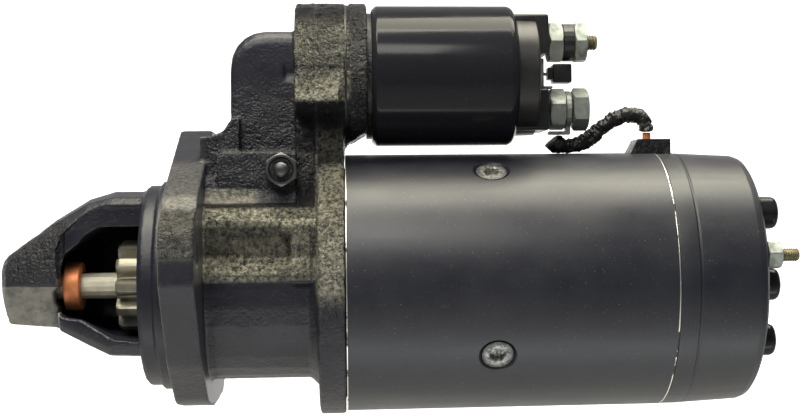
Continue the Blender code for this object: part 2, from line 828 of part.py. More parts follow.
def lever_and_pivot(lever_axis):
    """A two-armed lever: one tongue up to the plunger, two legs down to the shift collar."""
    pivot = (PIVOT_X, PIVOT_Z)
    arm = prism(
        [
            (PIVOT_X - 6.5, PIVOT_Z),
            (LEVER_TIP_X - 2.8, SOLENOID_Z - 1.0),
            (LEVER_TIP_X + 2.8, SOLENOID_Z - 1.0),
            (PIVOT_X + 6.5, PIVOT_Z),
        ],
        -4.0,
        4.0,
        "Y",
    )
    tip = swept_y(-4.0, 4.0, 4.0, (LEVER_TIP_X, SOLENOID_Z), 16)
    hub = swept_y(-6.0, 6.0, 8.5, pivot)
    bridge = prism(
        [(PIVOT_X - 5.0, 46.0), (PIVOT_X - 2.5, 31.5), (PIVOT_X + 6.5, 31.5), (PIVOT_X + 6.0, 46.0)],
        -6.0,
        6.0,
        "Y",
    )
    yoke_bar = block((PIVOT_X - 2.6, -23.7, 31.0), (PIVOT_X + 6.4, 23.7, 38.0))
    added = [arm, tip, bridge, yoke_bar]
    for side in (-1.0, 1.0):
        low, high = sorted((side * 19.8, side * 23.8))
        pad = sorted((side * 14.8, side * 21.0))
        leg = prism(
            [
                (PIVOT_X - 2.4, 37.0),
                (GROOVE_X - 3.6, 1.0),
                (GROOVE_X + 3.6, 1.0),
                (PIVOT_X + 6.2, 37.0),
            ],
            low,
            high,
            "Y",
        )
        added.append(leg)
        added.append(swept_y(low, high, 5.0, (GROOVE_X, 0.0), 16))
        added.append(swept_y(pad[0], pad[1], 4.2, (GROOVE_X, 0.0), 16))
    cut = [swept_y(-30.0, 30.0, 4.4, pivot)]
    body("shift_lever", combined(hub, added, cut), "dark_steel", lever_axis)
    bolt = turned(
        [
            (-41.0, 0.0),
            (-41.0, 3.2),
            (-40.4, 3.8),
            (33.3, 3.8),
            (33.3, 7.2),
            (38.5, 7.2),
            (38.5, 0.0),
        ],
        steps=16,
    )
    nut = prism(hexagon(13.0, 30.0), -38.8, -33.3)
    hole = cylinder(-45.0, -20.0, 3.8 + GAP, steps=16)
    for name, bm in (("pivot_bolt", bolt), ("pivot_nut", combined(nut, (), [hole]))):
        turned_about(bm, "Z", 90.0)
        bmesh.ops.translate(bm, verts=bm.verts, vec=(PIVOT_X, 0.0, PIVOT_Z))
        body(name, bm, "dark_steel")


def return_spring(parent):
    """A round wire coil with its two ends cut square, between the collar and the can."""
    turns = 4.5
    sides = 5
    points = 45
    coil_radius = 14.35
    wire = 0.85
    start_x, end_x = 64.2, 85.2
    bm = bmesh.new()
    rings = []
    for k in range(points + 1):
        angle = 2 * math.pi * turns * k / points
        centre = Vector(
            (
                start_x + (end_x - start_x) * k / points,
                -coil_radius * math.cos(angle),
                SOLENOID_Z + coil_radius * math.sin(angle),
            )
        )
        outward = Vector((0.0, -math.cos(angle), math.sin(angle)))
        ring = []
        for j in range(sides):
            swing = 2 * math.pi * j / sides
            offset = outward * math.cos(swing) + Vector((1.0, 0.0, 0.0)) * math.sin(swing)
            ring.append(bm.verts.new(centre + offset * wire))
        rings.append(ring)
    bm.faces.new(rings[0])
    bm.faces.new(rings[-1])
    for a, b in zip(rings, rings[1:]):
        for j in range(sides):
            n = (j + 1) % sides
            bm.faces.new((a[j], a[n], b[n], b[j]))
    body("return_spring", bm, "zinc_plate", parent)


def plunger(slide):
    core = turned(
        [
            (60.5, 0.0),
            (60.5, 15.6),
            (63.0, 15.6),
            (63.0, PLUNGER_RADIUS),
            (116.5, PLUNGER_RADIUS),
            (117.5, PLUNGER_RADIUS - 1.0),
            (117.5, 0.0),
        ],
        (0.0, SOLENOID_Z),
        28,
    )
    tongue = block((32.0, -8.6, SOLENOID_Z - 5.5), (61.5, 8.6, SOLENOID_Z + 5.5))
    window = block((LEVER_TIP_X - 4.8, -4.6, 60.0), (LEVER_TIP_X + 4.8, 4.6, 120.0))
    body("plunger", combined(core, [tongue], [window]), "zinc_plate", slide)


def solenoid(contact_axis):
    centre = (0.0, SOLENOID_Z)
    ring = turned(
        [
            (SOLENOID_FLANGE_X[0], 16.6),
            (SOLENOID_FLANGE_X[0], SOLENOID_BOSS_RADIUS - 0.4),
            (SOLENOID_FLANGE_X[0] + 1.2, SOLENOID_BOSS_RADIUS - 1.2),
            (SOLENOID_FLANGE_X[0] + 2.4, SOLENOID_BOSS_RADIUS),
            (SOLENOID_FLANGE_X[1] - 0.8, SOLENOID_BOSS_RADIUS),
            (SOLENOID_FLANGE_X[1], SOLENOID_BOSS_RADIUS - 0.8),
            (SOLENOID_FLANGE_X[1], 16.6),
        ],
        centre,
    )
    chamfer = prism([(70.0, 50.0), (70.0, 58.4), (90.0, 71.5), (90.0, 50.0)], -40.0, 40.0, "Y")
    holes = [chamfer]
    for side in (-1.0, 1.0):
        holes.append(cylinder(70.0, 81.0, 2.8, (side * 25.0, SOLENOID_Z)))
    body("solenoid_flange", combined(ring, (), holes), "black_casting")
    for k, side in enumerate((-1.0, 1.0), 1):
        screw = turned(
            [
                (BOSS_X[0] + 0.5, 0.0),
                (BOSS_X[0] + 0.5, 5.2),
                (BOSS_X[0] + 5.6, 5.2),
                (BOSS_X[0] + 5.6, 2.5),
                (80.5, 2.5),
                (80.5, 0.0),
            ],
            (side * 25.0, SOLENOID_Z),
            16,
        )
        body(f"solenoid_screw_{k}", screw, "zinc_plate")
    case = turned(
        [
            (CASE_X[0], 13.0),
            (CASE_X[0], CASE_RADIUS - 1.6),
            (CASE_X[0] + 1.6, CASE_RADIUS),
            (CASE_X[1] - 1.5, CASE_RADIUS),
            (CASE_X[1], CASE_RADIUS - 1.5),
            (CASE_X[1], 29.4),
            (CASE_X[0] + 3.0, 29.4),
            (CASE_X[0] + 3.0, 13.0),
        ],
        centre,
        32,
    )
    body("solenoid_case", case, "black_gloss")
    body("solenoid_coil", tube(90.0, 137.4, 14.4, 29.0, centre, 24), "copper")
    fixed_core = turned(
        [(131.0, 3.3), (131.0, 13.9), (138.0, 13.9), (138.0, 29.0), (145.0, 29.0), (145.0, 3.3)],
        centre,
        24,
    )
    body("solenoid_core", fixed_core, "dark_steel")
    bridge = turned(
        [(128.3, 0.0), (128.3, 2.8), (149.6, 2.8), (149.6, 19.5), (152.2, 19.5), (152.2, 0.0)],
        centre,
        24,
    )
    body("contact_bridge", bridge, "copper", contact_axis)


def solenoid_cap():
    """The moulded rear cap: a round base with two raised terminal blocks."""
    centre = (0.0, SOLENOID_Z)
    base = turned(
        [
            (145.8, 0.0),
            (145.8, 28.9),
            (CASE_X[1] - 0.4, 28.9),
            (CASE_X[1] - 0.4, CAP_RADIUS),
            (159.6, CAP_RADIUS),
            (161.0, CAP_RADIUS - 1.4),
            (161.0, 0.0),
        ],
        centre,
        32,
    )
    blocks = []
    for low, high in ((SOLENOID_Z + 9.0, SOLENOID_Z + 27.0), (SOLENOID_Z - 25.4, SOLENOID_Z - 6.5)):
        outline = rounded([(-13.5, low), (13.5, low), (13.5, high), (-13.5, high)], 3.5)
        blocks.append(prism(outline, 158.0, CAP_REAR_X))
    cut = [cylinder(140.0, 158.4, 24.5, centre, 32)]
    for side in (-1.0, 1.0):
        place = (0.0, SOLENOID_Z + side * STUD_OFFSET)
        cut.append(cylinder(150.0, 170.0, STUD_RADIUS + GAP, place))
    cut.append(block((155.0, -3.8, SOLENOID_Z - 1.2), (170.0, 3.8, SOLENOID_Z + 3.2)))
    body("solenoid_cap", combined(base, blocks, cut), "phenolic")


def hex_ring(across, turn, place, x0, x1, bore):
    """A chamfered hexagon with a round hole."""
    corner = across / math.sqrt(3)
    slope = corner - across / 2
    nut = prism(moved(hexagon(across, turn), place), x0, x1)
    limit = turned(
        [
            (x0 - 1.0, 0.0),
            (x0 - 1.0, corner - slope - 1.7),
            (x0 + slope, corner + 0.3),
            (x1 - slope, corner + 0.3),
            (x1 + 1.0, corner - slope - 1.7),
            (x1 + 1.0, 0.0),
        ],
        place,
        24,
    )
    return combined(nut, (), [cylinder(x0 - 5.0, x1 + 5.0, bore, place)], [limit])


def stud(x_end, place):
    return turned(
        [
            (154.8, 0.0),
            (154.8, 7.0),
            (158.0, 7.0),
            (158.0, STUD_RADIUS),
            (x_end - 1.0, STUD_RADIUS),
            (x_end, STUD_RADIUS - 1.0),
            (x_end, 0.0),
        ],
        place,
        14,
    )


def terminals():
    battery = (0.0, SOLENOID_Z + STUD_OFFSET)
    motor = (0.0, SOLENOID_Z - STUD_OFFSET)
    bore = STUD_RADIUS + GAP
    across = TERMINAL_NUT_ACROSS
    body("battery_stud", stud(190.0, battery), "brass")
    body("battery_inner_nut", hex_ring(across, 0.0, battery, 167.2, 173.8, bore), "zinc_plate")
    spacer = tube(174.1, 178.8, bore, 8.6, battery, 24)
    body("battery_insulator", spacer, "phenolic")
    body("battery_outer_nut", hex_ring(across, 0.0, battery, 179.1, 184.8, bore), "zinc_plate")
    body("motor_stud", stud(183.6, motor), "brass")
    body("motor_inner_nut", hex_ring(across, 12.0, motor, 167.6, 174.8, bore), "zinc_plate")
    body("motor_outer_nut", hex_ring(across, 30.0, motor, 178.2, 185.4, bore), "zinc_plate")
    lug = tube(175.1, 177.2, bore, 8.4, motor, 24)
    tail = prism(
        [(175.2, 72.0), (175.2, 67.6), (167.4, 67.6), (167.4, 66.2), (177.1, 66.2), (177.1, 72.0)],
        -3.2,
        3.2,
        "Y",
    )
    body("lead_lug", combined(lug, [tail]), "zinc_plate")
    blade = block((159.4, -3.4, SOLENOID_Z - 0.4), (171.0, 3.4, SOLENOID_Z + 2.4))
    plug = prism(rounded([(-4.6, 89.6), (4.6, 89.6), (4.6, 98.4), (-4.6, 98.4)], 1.2), 169.4, 178.0)
    body("control_terminal", combined(plug, [blade]), "phenolic")


def smooth_route(points, count):
    """Evenly spaced points on a Catmull-Rom curve through the route's own points."""
    ends = [points[0] * 2 - points[1]] + points + [points[-1] * 2 - points[-2]]
    fine = []
    for k in range(1, len(ends) - 2):
        a, b, c, d = ends[k - 1 : k + 3]
        for j in range(12):
            t = j / 12
            square = a * 2 - b * 5 + c * 4 - d
            cube = b * 3 - a - c * 3 + d
            fine.append((b * 2 + (c - a) * t + square * t**2 + cube * t**3) / 2)
    fine.append(points[-1])
    lengths = [0.0]
    for p, q in zip(fine, fine[1:]):
        lengths.append(lengths[-1] + (q - p).length)
    out = []
    k = 0
    for j in range(count):
        target = lengths[-1] * j / (count - 1)
        while k < len(fine) - 2 and lengths[k + 1] < target:
            k += 1
        share = (target - lengths[k]) / (lengths[k + 1] - lengths[k])
        out.append(fine[k].lerp(fine[k + 1], share))
    return out


def cable(name, points, radius, count, look_name):
    curve = bpy.data.curves.new(name, "CURVE")
    curve.dimensions = "3D"
    curve.bevel_depth = radius * MM
    curve.bevel_resolution = 2
    curve.use_fill_caps = True
    spline = curve.splines.new("POLY")
    spline.points.add(count - 1)
    for target, place in zip(spline.points, smooth_route(points, count)):
        target.co = (place.x * MM, place.y * MM, place.z * MM, 1.0)
    obj = bpy.data.objects.new(name, curve)
    bpy.context.scene.collection.objects.link(obj)
    obj.data.materials.append(look(look_name))
    return obj


def field_lead():
    """The sleeved lead from the motor stud's lug, along the yoke and up over to the grommet."""
    route = [
        Vector((169.8, 1.0, 63.6)),
        Vector((170.8, 1.6, 62.4)),
        Vector((173.6, 3.2, 61.4)),
        Vector((179.5, 5.0, 61.4)),
        Vector((186.0, 5.0, 63.8)),
        Vector((192.5, 4.5, 69.0)),
        Vector((199.0, 3.5, 73.6)),
        Vector((205.6, 2.0, 75.4)),
        Vector((210.8, 0.5, 73.6)),
        Vector((212.8, 0.0, 69.6)),
        Vector((213.0, 0.0, 67.2)),
    ]
    cable("field_lead", route, 3.3, 18, "rubber")
    tail = turned([(48.0, 0.0), (48.0, 1.9), (66.8, 1.9), (66.8, 0.0)], steps=12)
    turned_about(tail, "Y", -90.0)
    bmesh.ops.translate(tail, verts=tail.verts, vec=(213.0, 0.0, 0.0))
    body("lead_tail", tail, "copper")
    outline = [(204.2, 49.5), (204.2, 57.6), (207.4, 63.6), (222.4, 63.6), (222.4, 49.5)]
    grommet = prism(outline, -8.0, 8.0, "Y")
    hole = turned([(40.0, 0.0), (40.0, 2.2), (80.0, 2.2), (80.0, 0.0)], steps=12)
    turned_about(hole, "Y", -90.0)
    bmesh.ops.translate(hole, verts=hole.verts, vec=(213.0, 0.0, 0.0))
    body("lead_grommet", combined(grommet, (), [hole]), "rubber")


def main():
    clear_scene()
    root = joint_empty("starter_root", (0.0, 0.0, 0.0))
    spin = joint_empty("armature_spin_axis", (0.0, 0.0, 0.0), root)
    collar_axis = joint_empty("collar_slide_axis", (GROOVE_X, 0.0, 0.0), root)
    clutch_axis = joint_empty("clutch_spin_axis", (28.0, 0.0, 0.0), collar_axis)
    pinion_axis = joint_empty("pinion_spin_axis", (PINION_X[0], 0.0, 0.0), clutch_axis)
    lever_axis = joint_empty("lever_pivot_axis", (PIVOT_X, 0.0, PIVOT_Z), root)
    slide = joint_empty("plunger_slide_axis", (LEVER_TIP_X, 0.0, SOLENOID_Z), root)
    contact_axis = joint_empty("contact_slide_axis", (150.0, 0.0, SOLENOID_Z), root)
    housing()
    body("nose_bushing", tube(-71.0, -53.0, SHAFT_RADIUS + GAP, 8.4, steps=24), "brass")
    yoke()
    poles()
    field_winding()
    commutator_end()
    fasteners()
    brush_gear(root)
    armature(spin)
    drive(collar_axis, clutch_axis, pinion_axis)
    lever_and_pivot(lever_axis)
    plunger(slide)
    return_spring(slide)
    solenoid(contact_axis)
    solenoid_cap()
    terminals()
    field_lead()


main()
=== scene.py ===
"""The look of the starter motor: high-resolution surfaces, materials, light and camera.

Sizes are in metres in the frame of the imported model; MM turns a millimetre figure into metres.
"""

import json
import math

import bmesh
import bpy
import numpy as np
from mathutils import Matrix, Vector, noise


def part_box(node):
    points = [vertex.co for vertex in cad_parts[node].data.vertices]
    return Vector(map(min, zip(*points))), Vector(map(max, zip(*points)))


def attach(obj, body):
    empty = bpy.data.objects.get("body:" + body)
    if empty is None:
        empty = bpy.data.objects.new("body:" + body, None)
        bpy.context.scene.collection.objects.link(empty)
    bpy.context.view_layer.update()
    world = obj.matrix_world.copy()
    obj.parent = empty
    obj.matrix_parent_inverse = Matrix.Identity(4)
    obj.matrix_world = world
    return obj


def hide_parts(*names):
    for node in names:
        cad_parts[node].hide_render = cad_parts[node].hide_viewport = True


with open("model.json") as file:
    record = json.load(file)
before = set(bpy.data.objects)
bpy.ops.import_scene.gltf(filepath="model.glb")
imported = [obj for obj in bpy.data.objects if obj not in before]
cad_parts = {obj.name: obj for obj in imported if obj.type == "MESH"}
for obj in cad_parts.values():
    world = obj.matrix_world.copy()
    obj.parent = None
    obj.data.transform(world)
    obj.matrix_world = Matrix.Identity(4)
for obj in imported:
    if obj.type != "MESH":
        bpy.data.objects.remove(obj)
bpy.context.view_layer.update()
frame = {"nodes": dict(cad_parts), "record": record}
NODES = frame["nodes"]

MM = 0.001


def node_box(name):
    low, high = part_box(name)
    return Vector(low), Vector(high)


def yz_centre(name):
    low, high = node_box(name)
    return (low.y + high.y) / 2, (low.z + high.z) / 2


YOKE_LOW, YOKE_HIGH = node_box("yoke_tube")
YOKE_RADIUS = (YOKE_HIGH.z - YOKE_LOW.z) / 2
CASE_LOW, CASE_HIGH = node_box("solenoid_case")
CASE_RADIUS = (CASE_HIGH.y - CASE_LOW.y) / 2
SOLENOID_AXIS = (0.0, (CASE_HIGH.z + CASE_LOW.z) / 2)
CAP_HIGH = node_box("commutator_end_cap")[1]
# The four pole screws stand in one ring, the first of them 31 degrees below the side.
POLE_ANGLES = [-31.0 + 90.0 * k for k in range(4)]
POLE_SCREW_X = 138.0 * MM


# Node graphs


class Graph:
    """A material's node tree with short names for the few nodes used here."""

    def __init__(self, name):
        self.material = bpy.data.materials.new(name)
        self.material.use_nodes = True
        self.tree = self.material.node_tree
        self.shader = self.tree.nodes["Principled BSDF"]
        self.coords = self.node("ShaderNodeTexCoord").outputs["Object"]

    def node(self, kind, **settings):
        made = self.tree.nodes.new(kind)
        for key, value in settings.items():
            setattr(made, key, value)
        return made

    def link(self, source, target):
        self.tree.links.new(source, target)

    def noise(self, scale, detail=4.0, rough=0.55, stretch=None):
        """Noise with features about 1 / scale metres wide; stretch scales each axis."""
        made = self.node("ShaderNodeTexNoise")
        made.inputs["Scale"].default_value = scale
        made.inputs["Detail"].default_value = detail
        made.inputs["Roughness"].default_value = rough
        source = self.coords
        if stretch:
            mapping = self.node("ShaderNodeMapping")
            mapping.inputs["Scale"].default_value = stretch
            self.link(self.coords, mapping.inputs["Vector"])
            source = mapping.outputs["Vector"]
        self.link(source, made.inputs["Vector"])
        return made.outputs["Fac"]

    def ramp(self, source, stops):
        """Colour ramp; stops is a list of (position, value or colour)."""
        made = self.node("ShaderNodeValToRGB")
        elements = made.color_ramp.elements
        while len(elements) < len(stops):
            elements.new(0.5)
        for element, (place, value) in zip(elements, stops):
            element.position = place
            colour = value if isinstance(value, tuple) else (value, value, value)
            element.color = (*colour, 1.0)
        self.link(source, made.inputs["Fac"])
        return made.outputs["Color"]

    def math(self, operation, a, b=None):
        made = self.node("ShaderNodeMath", operation=operation)
        for slot, value in zip(made.inputs, (a, b)):
            if value is None:
                continue
            if isinstance(value, (int, float)):
                slot.default_value = value
            else:
                self.link(value, slot)
        return made.outputs[0]

    def mix(self, factor, a, b):
        made = self.node("ShaderNodeMix", data_type="RGBA")
        for slot, value in zip((made.inputs[0], made.inputs[6], made.inputs[7]), (factor, a, b)):
            if isinstance(value, tuple):
                slot.default_value = (*value, 1.0)
            elif isinstance(value, (int, float)):
                slot.default_value = value
            else:
                self.link(value, slot)
        return made.outputs[2]

    def edge_wear(self):
        """1 along convex edges, 0 elsewhere."""
        geometry = self.node("ShaderNodeNewGeometry")
        return self.ramp(geometry.outputs["Pointiness"], [(0.53, 0.0), (0.60, 1.0)])

    def bump(self, height, distance, strength=1.0, after=None):
        made = self.node("ShaderNodeBump")
        made.inputs["Distance"].default_value = distance
        made.inputs["Strength"].default_value = strength
        self.link(height, made.inputs["Height"])
        if after is not None:
            self.link(after, made.inputs["Normal"])
        return made.outputs["Normal"]

    def finish(self, colour=None, roughness=None, metallic=None, normal=None):
        pairs = {"Base Color": colour, "Roughness": roughness, "Metallic": metallic, "Normal": normal}
        for key, value in pairs.items():
            if value is None:
                continue
            if isinstance(value, tuple):
                self.shader.inputs[key].default_value = (*value, 1.0)
            elif isinstance(value, (int, float)):
                self.shader.inputs[key].default_value = value
            else:
                self.link(value, self.shader.inputs[key])
        return self.material


def cast_paint():
    """Black over cast iron. The mesh says how crinkled it is (grain), where a painted highlight goes, and
    where it is light grey: worn bare at the pilot step, and a painted reflection of the pale floor on the
    nose tip's lower facet.
    """
    g = Graph("cast_black")
    zone, bare_and_painted_reflection, rub_and_painted_highlight = [
        g.node("ShaderNodeAttribute", attribute_name=name).outputs["Fac"]
        for name in ("grain", "bare_and_painted_reflection", "rub_and_painted_highlight")
    ]
    grain = g.noise(430.0, 4.0, 0.55)
    lumps = g.noise(150.0, 3.0, 0.5)
    patches = g.noise(42.0, 3.0)
    crests = g.math("ABSOLUTE", g.math("SUBTRACT", grain, 0.5))
    height = g.math("ADD", g.math("MULTIPLY", crests, -1.6), lumps)
    crinkle = g.bump(g.math("MULTIPLY", height, zone), 0.0040, 1.0)
    fine = g.bump(g.noise(1500.0, 3.0, 0.6), 0.00006, 0.5, crinkle)
    smooth = g.mix(g.ramp(patches, [(0.35, 0.0), (0.65, 1.0)]), (0.010, 0.010, 0.018), (0.018, 0.018, 0.028))
    dark = g.mix(g.ramp(patches, [(0.38, 0.0), (0.62, 1.0)]), (0.004, 0.004, 0.007), (0.011, 0.010, 0.010))
    base = g.mix(zone, smooth, dark)
    # Painted highlight: a sandy grey-yellow that comes and goes in a fine speckle on the ledges that face up
    # and out, where the lights above and in front would glint on the crinkle.
    highlight_speckle = g.ramp(g.noise(620.0, 5.0, 0.62, (1.0, 1.0, 0.7)), [(0.36, 0.10), (0.66, 1.0)])
    painted_highlight = g.math("MULTIPLY", g.math("MULTIPLY", highlight_speckle, rub_and_painted_highlight), g.ramp(patches, [(0.30, 0.55), (0.60, 1.0)]))
    base = g.mix(painted_highlight, base, (0.44, 0.42, 0.32))
    # Light grey where the mesh marks it: worn bare metal at the pilot step, and a painted reflection of the
    # pale floor on the nose tip's lower facet.
    worn = g.ramp(g.noise(90.0, 5.0, 0.65), [(0.38, 0.35), (0.56, 1.0)])
    base = g.mix(g.math("MULTIPLY", bare_and_painted_reflection, worn), base, (0.22, 0.21, 0.175))
    chips = g.ramp(g.noise(260.0, 3.0), [(0.45, 0.0), (0.6, 0.55)])
    base = g.mix(g.math("MULTIPLY", g.edge_wear(), chips), base, (0.24, 0.23, 0.20))
    rough = g.mix(zone, (0.42, 0.42, 0.42), (0.24, 0.24, 0.24))
    g.shader.inputs["Specular IOR Level"].default_value = 0.42
    return g.finish(base, rough, 0.0, fine)


def smooth_paint():
    """Satin black on turned steel: faint mottling, specks and fine handling scratches."""
    g = Graph("satin_black")
    mottling = g.noise(38.0, 4.0, 0.6)
    fine = g.noise(1400.0, 3.0, 0.6)
    streaks = g.noise(90.0, 3.0, 0.6, (0.25, 3.0, 3.0))
    specks = g.ramp(g.noise(1500.0, 1.0, 0.5), [(0.735, 0.0), (0.76, 1.0)])
    cloud = g.ramp(mottling, [(0.3, (0.012, 0.013, 0.021)), (0.7, (0.023, 0.024, 0.031))])
    colour = g.mix(g.math("MULTIPLY", specks, 0.5), cloud, (0.22, 0.21, 0.19))
    wear = g.math("ADD", g.math("MULTIPLY", mottling, 0.6), g.math("MULTIPLY", streaks, 0.4))
    rough = g.ramp(wear, [(0.3, 0.34), (0.7, 0.47)])
    return g.finish(colour, rough, 0.0, g.bump(fine, 0.00005, 0.5))


def gloss_paint():
    """Smoother gloss black of the solenoid can, with a light orange peel."""
    g = Graph("gloss_black")
    peel = g.noise(420.0, 2.0, 0.4)
    mottling = g.noise(60.0, 3.0)
    specks = g.ramp(g.noise(1700.0, 1.0, 0.5), [(0.745, 0.0), (0.77, 1.0)])
    colour = g.mix(g.math("MULTIPLY", specks, 0.35), (0.015, 0.015, 0.019), (0.20, 0.19, 0.18))
    rough = g.ramp(mottling, [(0.3, 0.12), (0.7, 0.18)])
    g.shader.inputs["Specular IOR Level"].default_value = 0.15
    return g.finish(colour, rough, 0.0, g.bump(peel, 0.00003, 0.3))


def moulding():
    """Black phenolic moulding with a fine grain."""
    g = Graph("black_moulding")
    grain = g.noise(1100.0, 3.0, 0.6)
    mottling = g.noise(70.0, 3.0)
    colour = g.ramp(mottling, [(0.3, (0.011, 0.011, 0.012)), (0.7, (0.022, 0.021, 0.020))])
    rough = g.ramp(mottling, [(0.3, 0.30), (0.7, 0.42)])
    return g.finish(colour, rough, 0.0, g.bump(grain, 0.00006, 0.5))


def rubber():
    """Matt black rubber and fabric-reinforced sleeve, dusty in its folds."""
    g = Graph("black_rubber")
    grain = g.noise(1500.0, 3.0, 0.6)
    folds = g.noise(260.0, 3.0, 0.6)
    dust = g.ramp(folds, [(0.56, 0.0), (0.76, 0.40)])
    colour = g.mix(dust, (0.008, 0.008, 0.009), (0.10, 0.10, 0.095))
    rough = g.ramp(folds, [(0.35, 0.22), (0.65, 0.50)])
    height = g.math("ADD", grain, g.math("MULTIPLY", folds, 3.0))
    return g.finish(colour, rough, 0.0, g.bump(height, 0.0004, 0.6))


def metal(name, light, dark, rough, scale=160.0, tint=None, metallic=1.0):
    """Plated or bare metal: stains from dark to light, dull patches, and a tint here and there."""
    g = Graph(name)
    stains = g.noise(scale, 5.0, 0.6)
    fine = g.noise(1800.0, 3.0, 0.7, (1.0, 1.0, 0.2))
    colour = g.ramp(stains, [(0.32, dark), (0.62, light)])
    if tint:
        colour = g.mix(g.ramp(g.noise(scale * 0.5, 3.0), [(0.48, 0.0), (0.72, 0.7)]), colour, tint)
    dull = g.ramp(stains, [(0.3, rough[1]), (0.7, rough[0])])
    return g.finish(colour, dull, metallic, g.bump(fine, 0.00004, 0.5))


def worn_seam():
    """Bright metal showing through black paint along an edge, with breaks."""
    g = Graph("worn_seam")
    breaks = g.ramp(g.noise(75.0, 4.0, 0.65), [(0.44, 0.0), (0.50, 1.0)])
    colour = g.mix(breaks, (0.03, 0.028, 0.025), (0.80, 0.79, 0.74))
    rough = g.ramp(breaks, [(0.0, 0.5), (1.0, 0.38)])
    return g.finish(colour, rough, breaks)


def rubbed_screw():
    """Black screw head worn to bright metal where its mesh says "shine"."""
    g = Graph("rubbed_screw")
    rub_and_painted_highlight = g.node("ShaderNodeAttribute", attribute_name="rub_and_painted_highlight").outputs["Fac"]
    worn = g.math("MULTIPLY", rub_and_painted_highlight, g.ramp(g.noise(700.0, 3.0, 0.55), [(0.40, 0.15), (0.60, 1.0)]))
    colour = g.mix(worn, (0.020, 0.020, 0.023), (0.50, 0.50, 0.46))
    rough = g.mix(worn, (0.42, 0.42, 0.42), (0.30, 0.30, 0.30))
    scratches = g.bump(g.noise(1300.0, 3.0), 0.00015, 0.6)
    return g.finish(colour, rough, g.math("MULTIPLY", worn, 0.6), scratches)


def carbon():
    """Pressed carbon of the brushes."""
    g = Graph("brush_carbon")
    grain = g.noise(900.0, 4.0, 0.6)
    colour = g.ramp(grain, [(0.3, (0.03, 0.028, 0.028)), (0.7, (0.075, 0.068, 0.065))])
    rough = g.ramp(grain, [(0.3, 0.5), (0.7, 0.7)])
    return g.finish(colour, rough, 0.1, g.bump(grain, 0.00008, 0.4))


CAST = cast_paint()
PAINT = smooth_paint()
GLOSS = gloss_paint()
MOULDING = moulding()
RUBBER = rubber()
ZINC = metal(
    "zinc_plate", (0.36, 0.385, 0.36), (0.15, 0.165, 0.15), (0.42, 0.60), 230.0, (0.20, 0.22, 0.19), 0.5
)
YELLOW_ZINC = metal(
    "yellow_zinc", (0.30, 0.27, 0.16), (0.11, 0.10, 0.06), (0.38, 0.55), 260.0, metallic=0.7
)
STEEL = metal(
    "bare_steel", (0.34, 0.32, 0.25), (0.20, 0.19, 0.15), (0.34, 0.48), 150.0, (0.17, 0.16, 0.13), 0.7
)
# The shaft's ground steel is a lighter copy of the steel, painted light: its raised base colour stands in for
# the light that the nose keeps off the shaft.
SHAFT_STEEL_PAINTED_LIGHT = metal(
    "ground_steel_painted_light", (0.92, 0.88, 0.70), (0.66, 0.62, 0.48), (0.34, 0.46), 110.0, metallic=0.25
)
DARK_STEEL = metal("dark_steel", (0.17, 0.17, 0.17), (0.07, 0.07, 0.075), (0.34, 0.52), 130.0)
COPPER = metal("copper", (0.95, 0.36, 0.15), (0.66, 0.20, 0.07), (0.40, 0.55), 170.0, metallic=0.45)
BRASS = metal("brass", (0.78, 0.60, 0.28), (0.50, 0.37, 0.16), (0.28, 0.45), 170.0)
SEAM = worn_seam()
SCREW = rubbed_screw()
CARBON = carbon()
# The record's slots, and the material that each of them has here.
LOOKS = {
    "black_casting": CAST,
    "black_paint": PAINT,
    "black_gloss": GLOSS,
    "zinc_plate": ZINC,
    "bare_steel": STEEL,
    "dark_steel": DARK_STEEL,
    "copper": COPPER,
    "brass": BRASS,
    "black_moulding": MOULDING,
    "rubber": RUBBER,
    "carbon": CARBON,
}


# Meshes


def at_angle(radius, degrees, centre=(0.0, 0.0)):
    """(y, z) on a circle: 0 degrees is -Y and 90 is +Z."""
    angle = math.radians(degrees)
    return centre[0] - radius * math.cos(angle), centre[1] + radius * math.sin(angle)


def shown(name, bm, material, body, node=None, sharp=35.0):
    """A finished piece of the object from a bmesh in metres."""
    bmesh.ops.recalc_face_normals(bm, faces=bm.faces)
    mesh = bpy.data.meshes.new(name)
    bm.to_mesh(mesh)
    bm.free()
    mesh.shade_smooth()
    mesh.set_sharp_from_angle(angle=math.radians(sharp))
    obj = bpy.data.objects.new(name, mesh)
    bpy.context.scene.collection.objects.link(obj)
    mesh.materials.append(material)
    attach(obj, body)
    if node:
        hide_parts(node)


def soften(obj, width):
    """Rounds an object's sharp edges with a bevel of this width."""
    bevel = obj.modifiers.new("edges", "BEVEL")
    bevel.width = width
    bevel.segments = 2
    bevel.limit_method = "ANGLE"
    bevel.angle_limit = math.radians(30.0)
    bevel.harden_normals = True


def eased(profile, radius=0.4 * MM, steps=4):
    """The turned profile with its corners rounded by short arcs."""
    out = []
    count = len(profile)
    on_axis = profile[0][1] == 0.0
    for k, (x, r) in enumerate(profile):
        here = Vector((x, r))
        before = Vector(profile[k - 1]) - here
        after = Vector(profile[(k + 1) % count]) - here
        reach = min(radius, before.length * 0.45, after.length * 0.45)
        if reach < 1e-6 or r == 0.0 or (on_axis and k in (0, count - 1)):
            out.append((x, r))
            continue
        start = here + before.normalized() * reach
        end = here + after.normalized() * reach
        for j in range(steps + 1):
            t = j / steps
            point = start * (1 - t) ** 2 + here * 2 * t * (1 - t) + end * t * t
            out.append((point.x, point.y))
    return out


def in_metres(pairs):
    return [(a * MM, b * MM) for a, b in pairs]


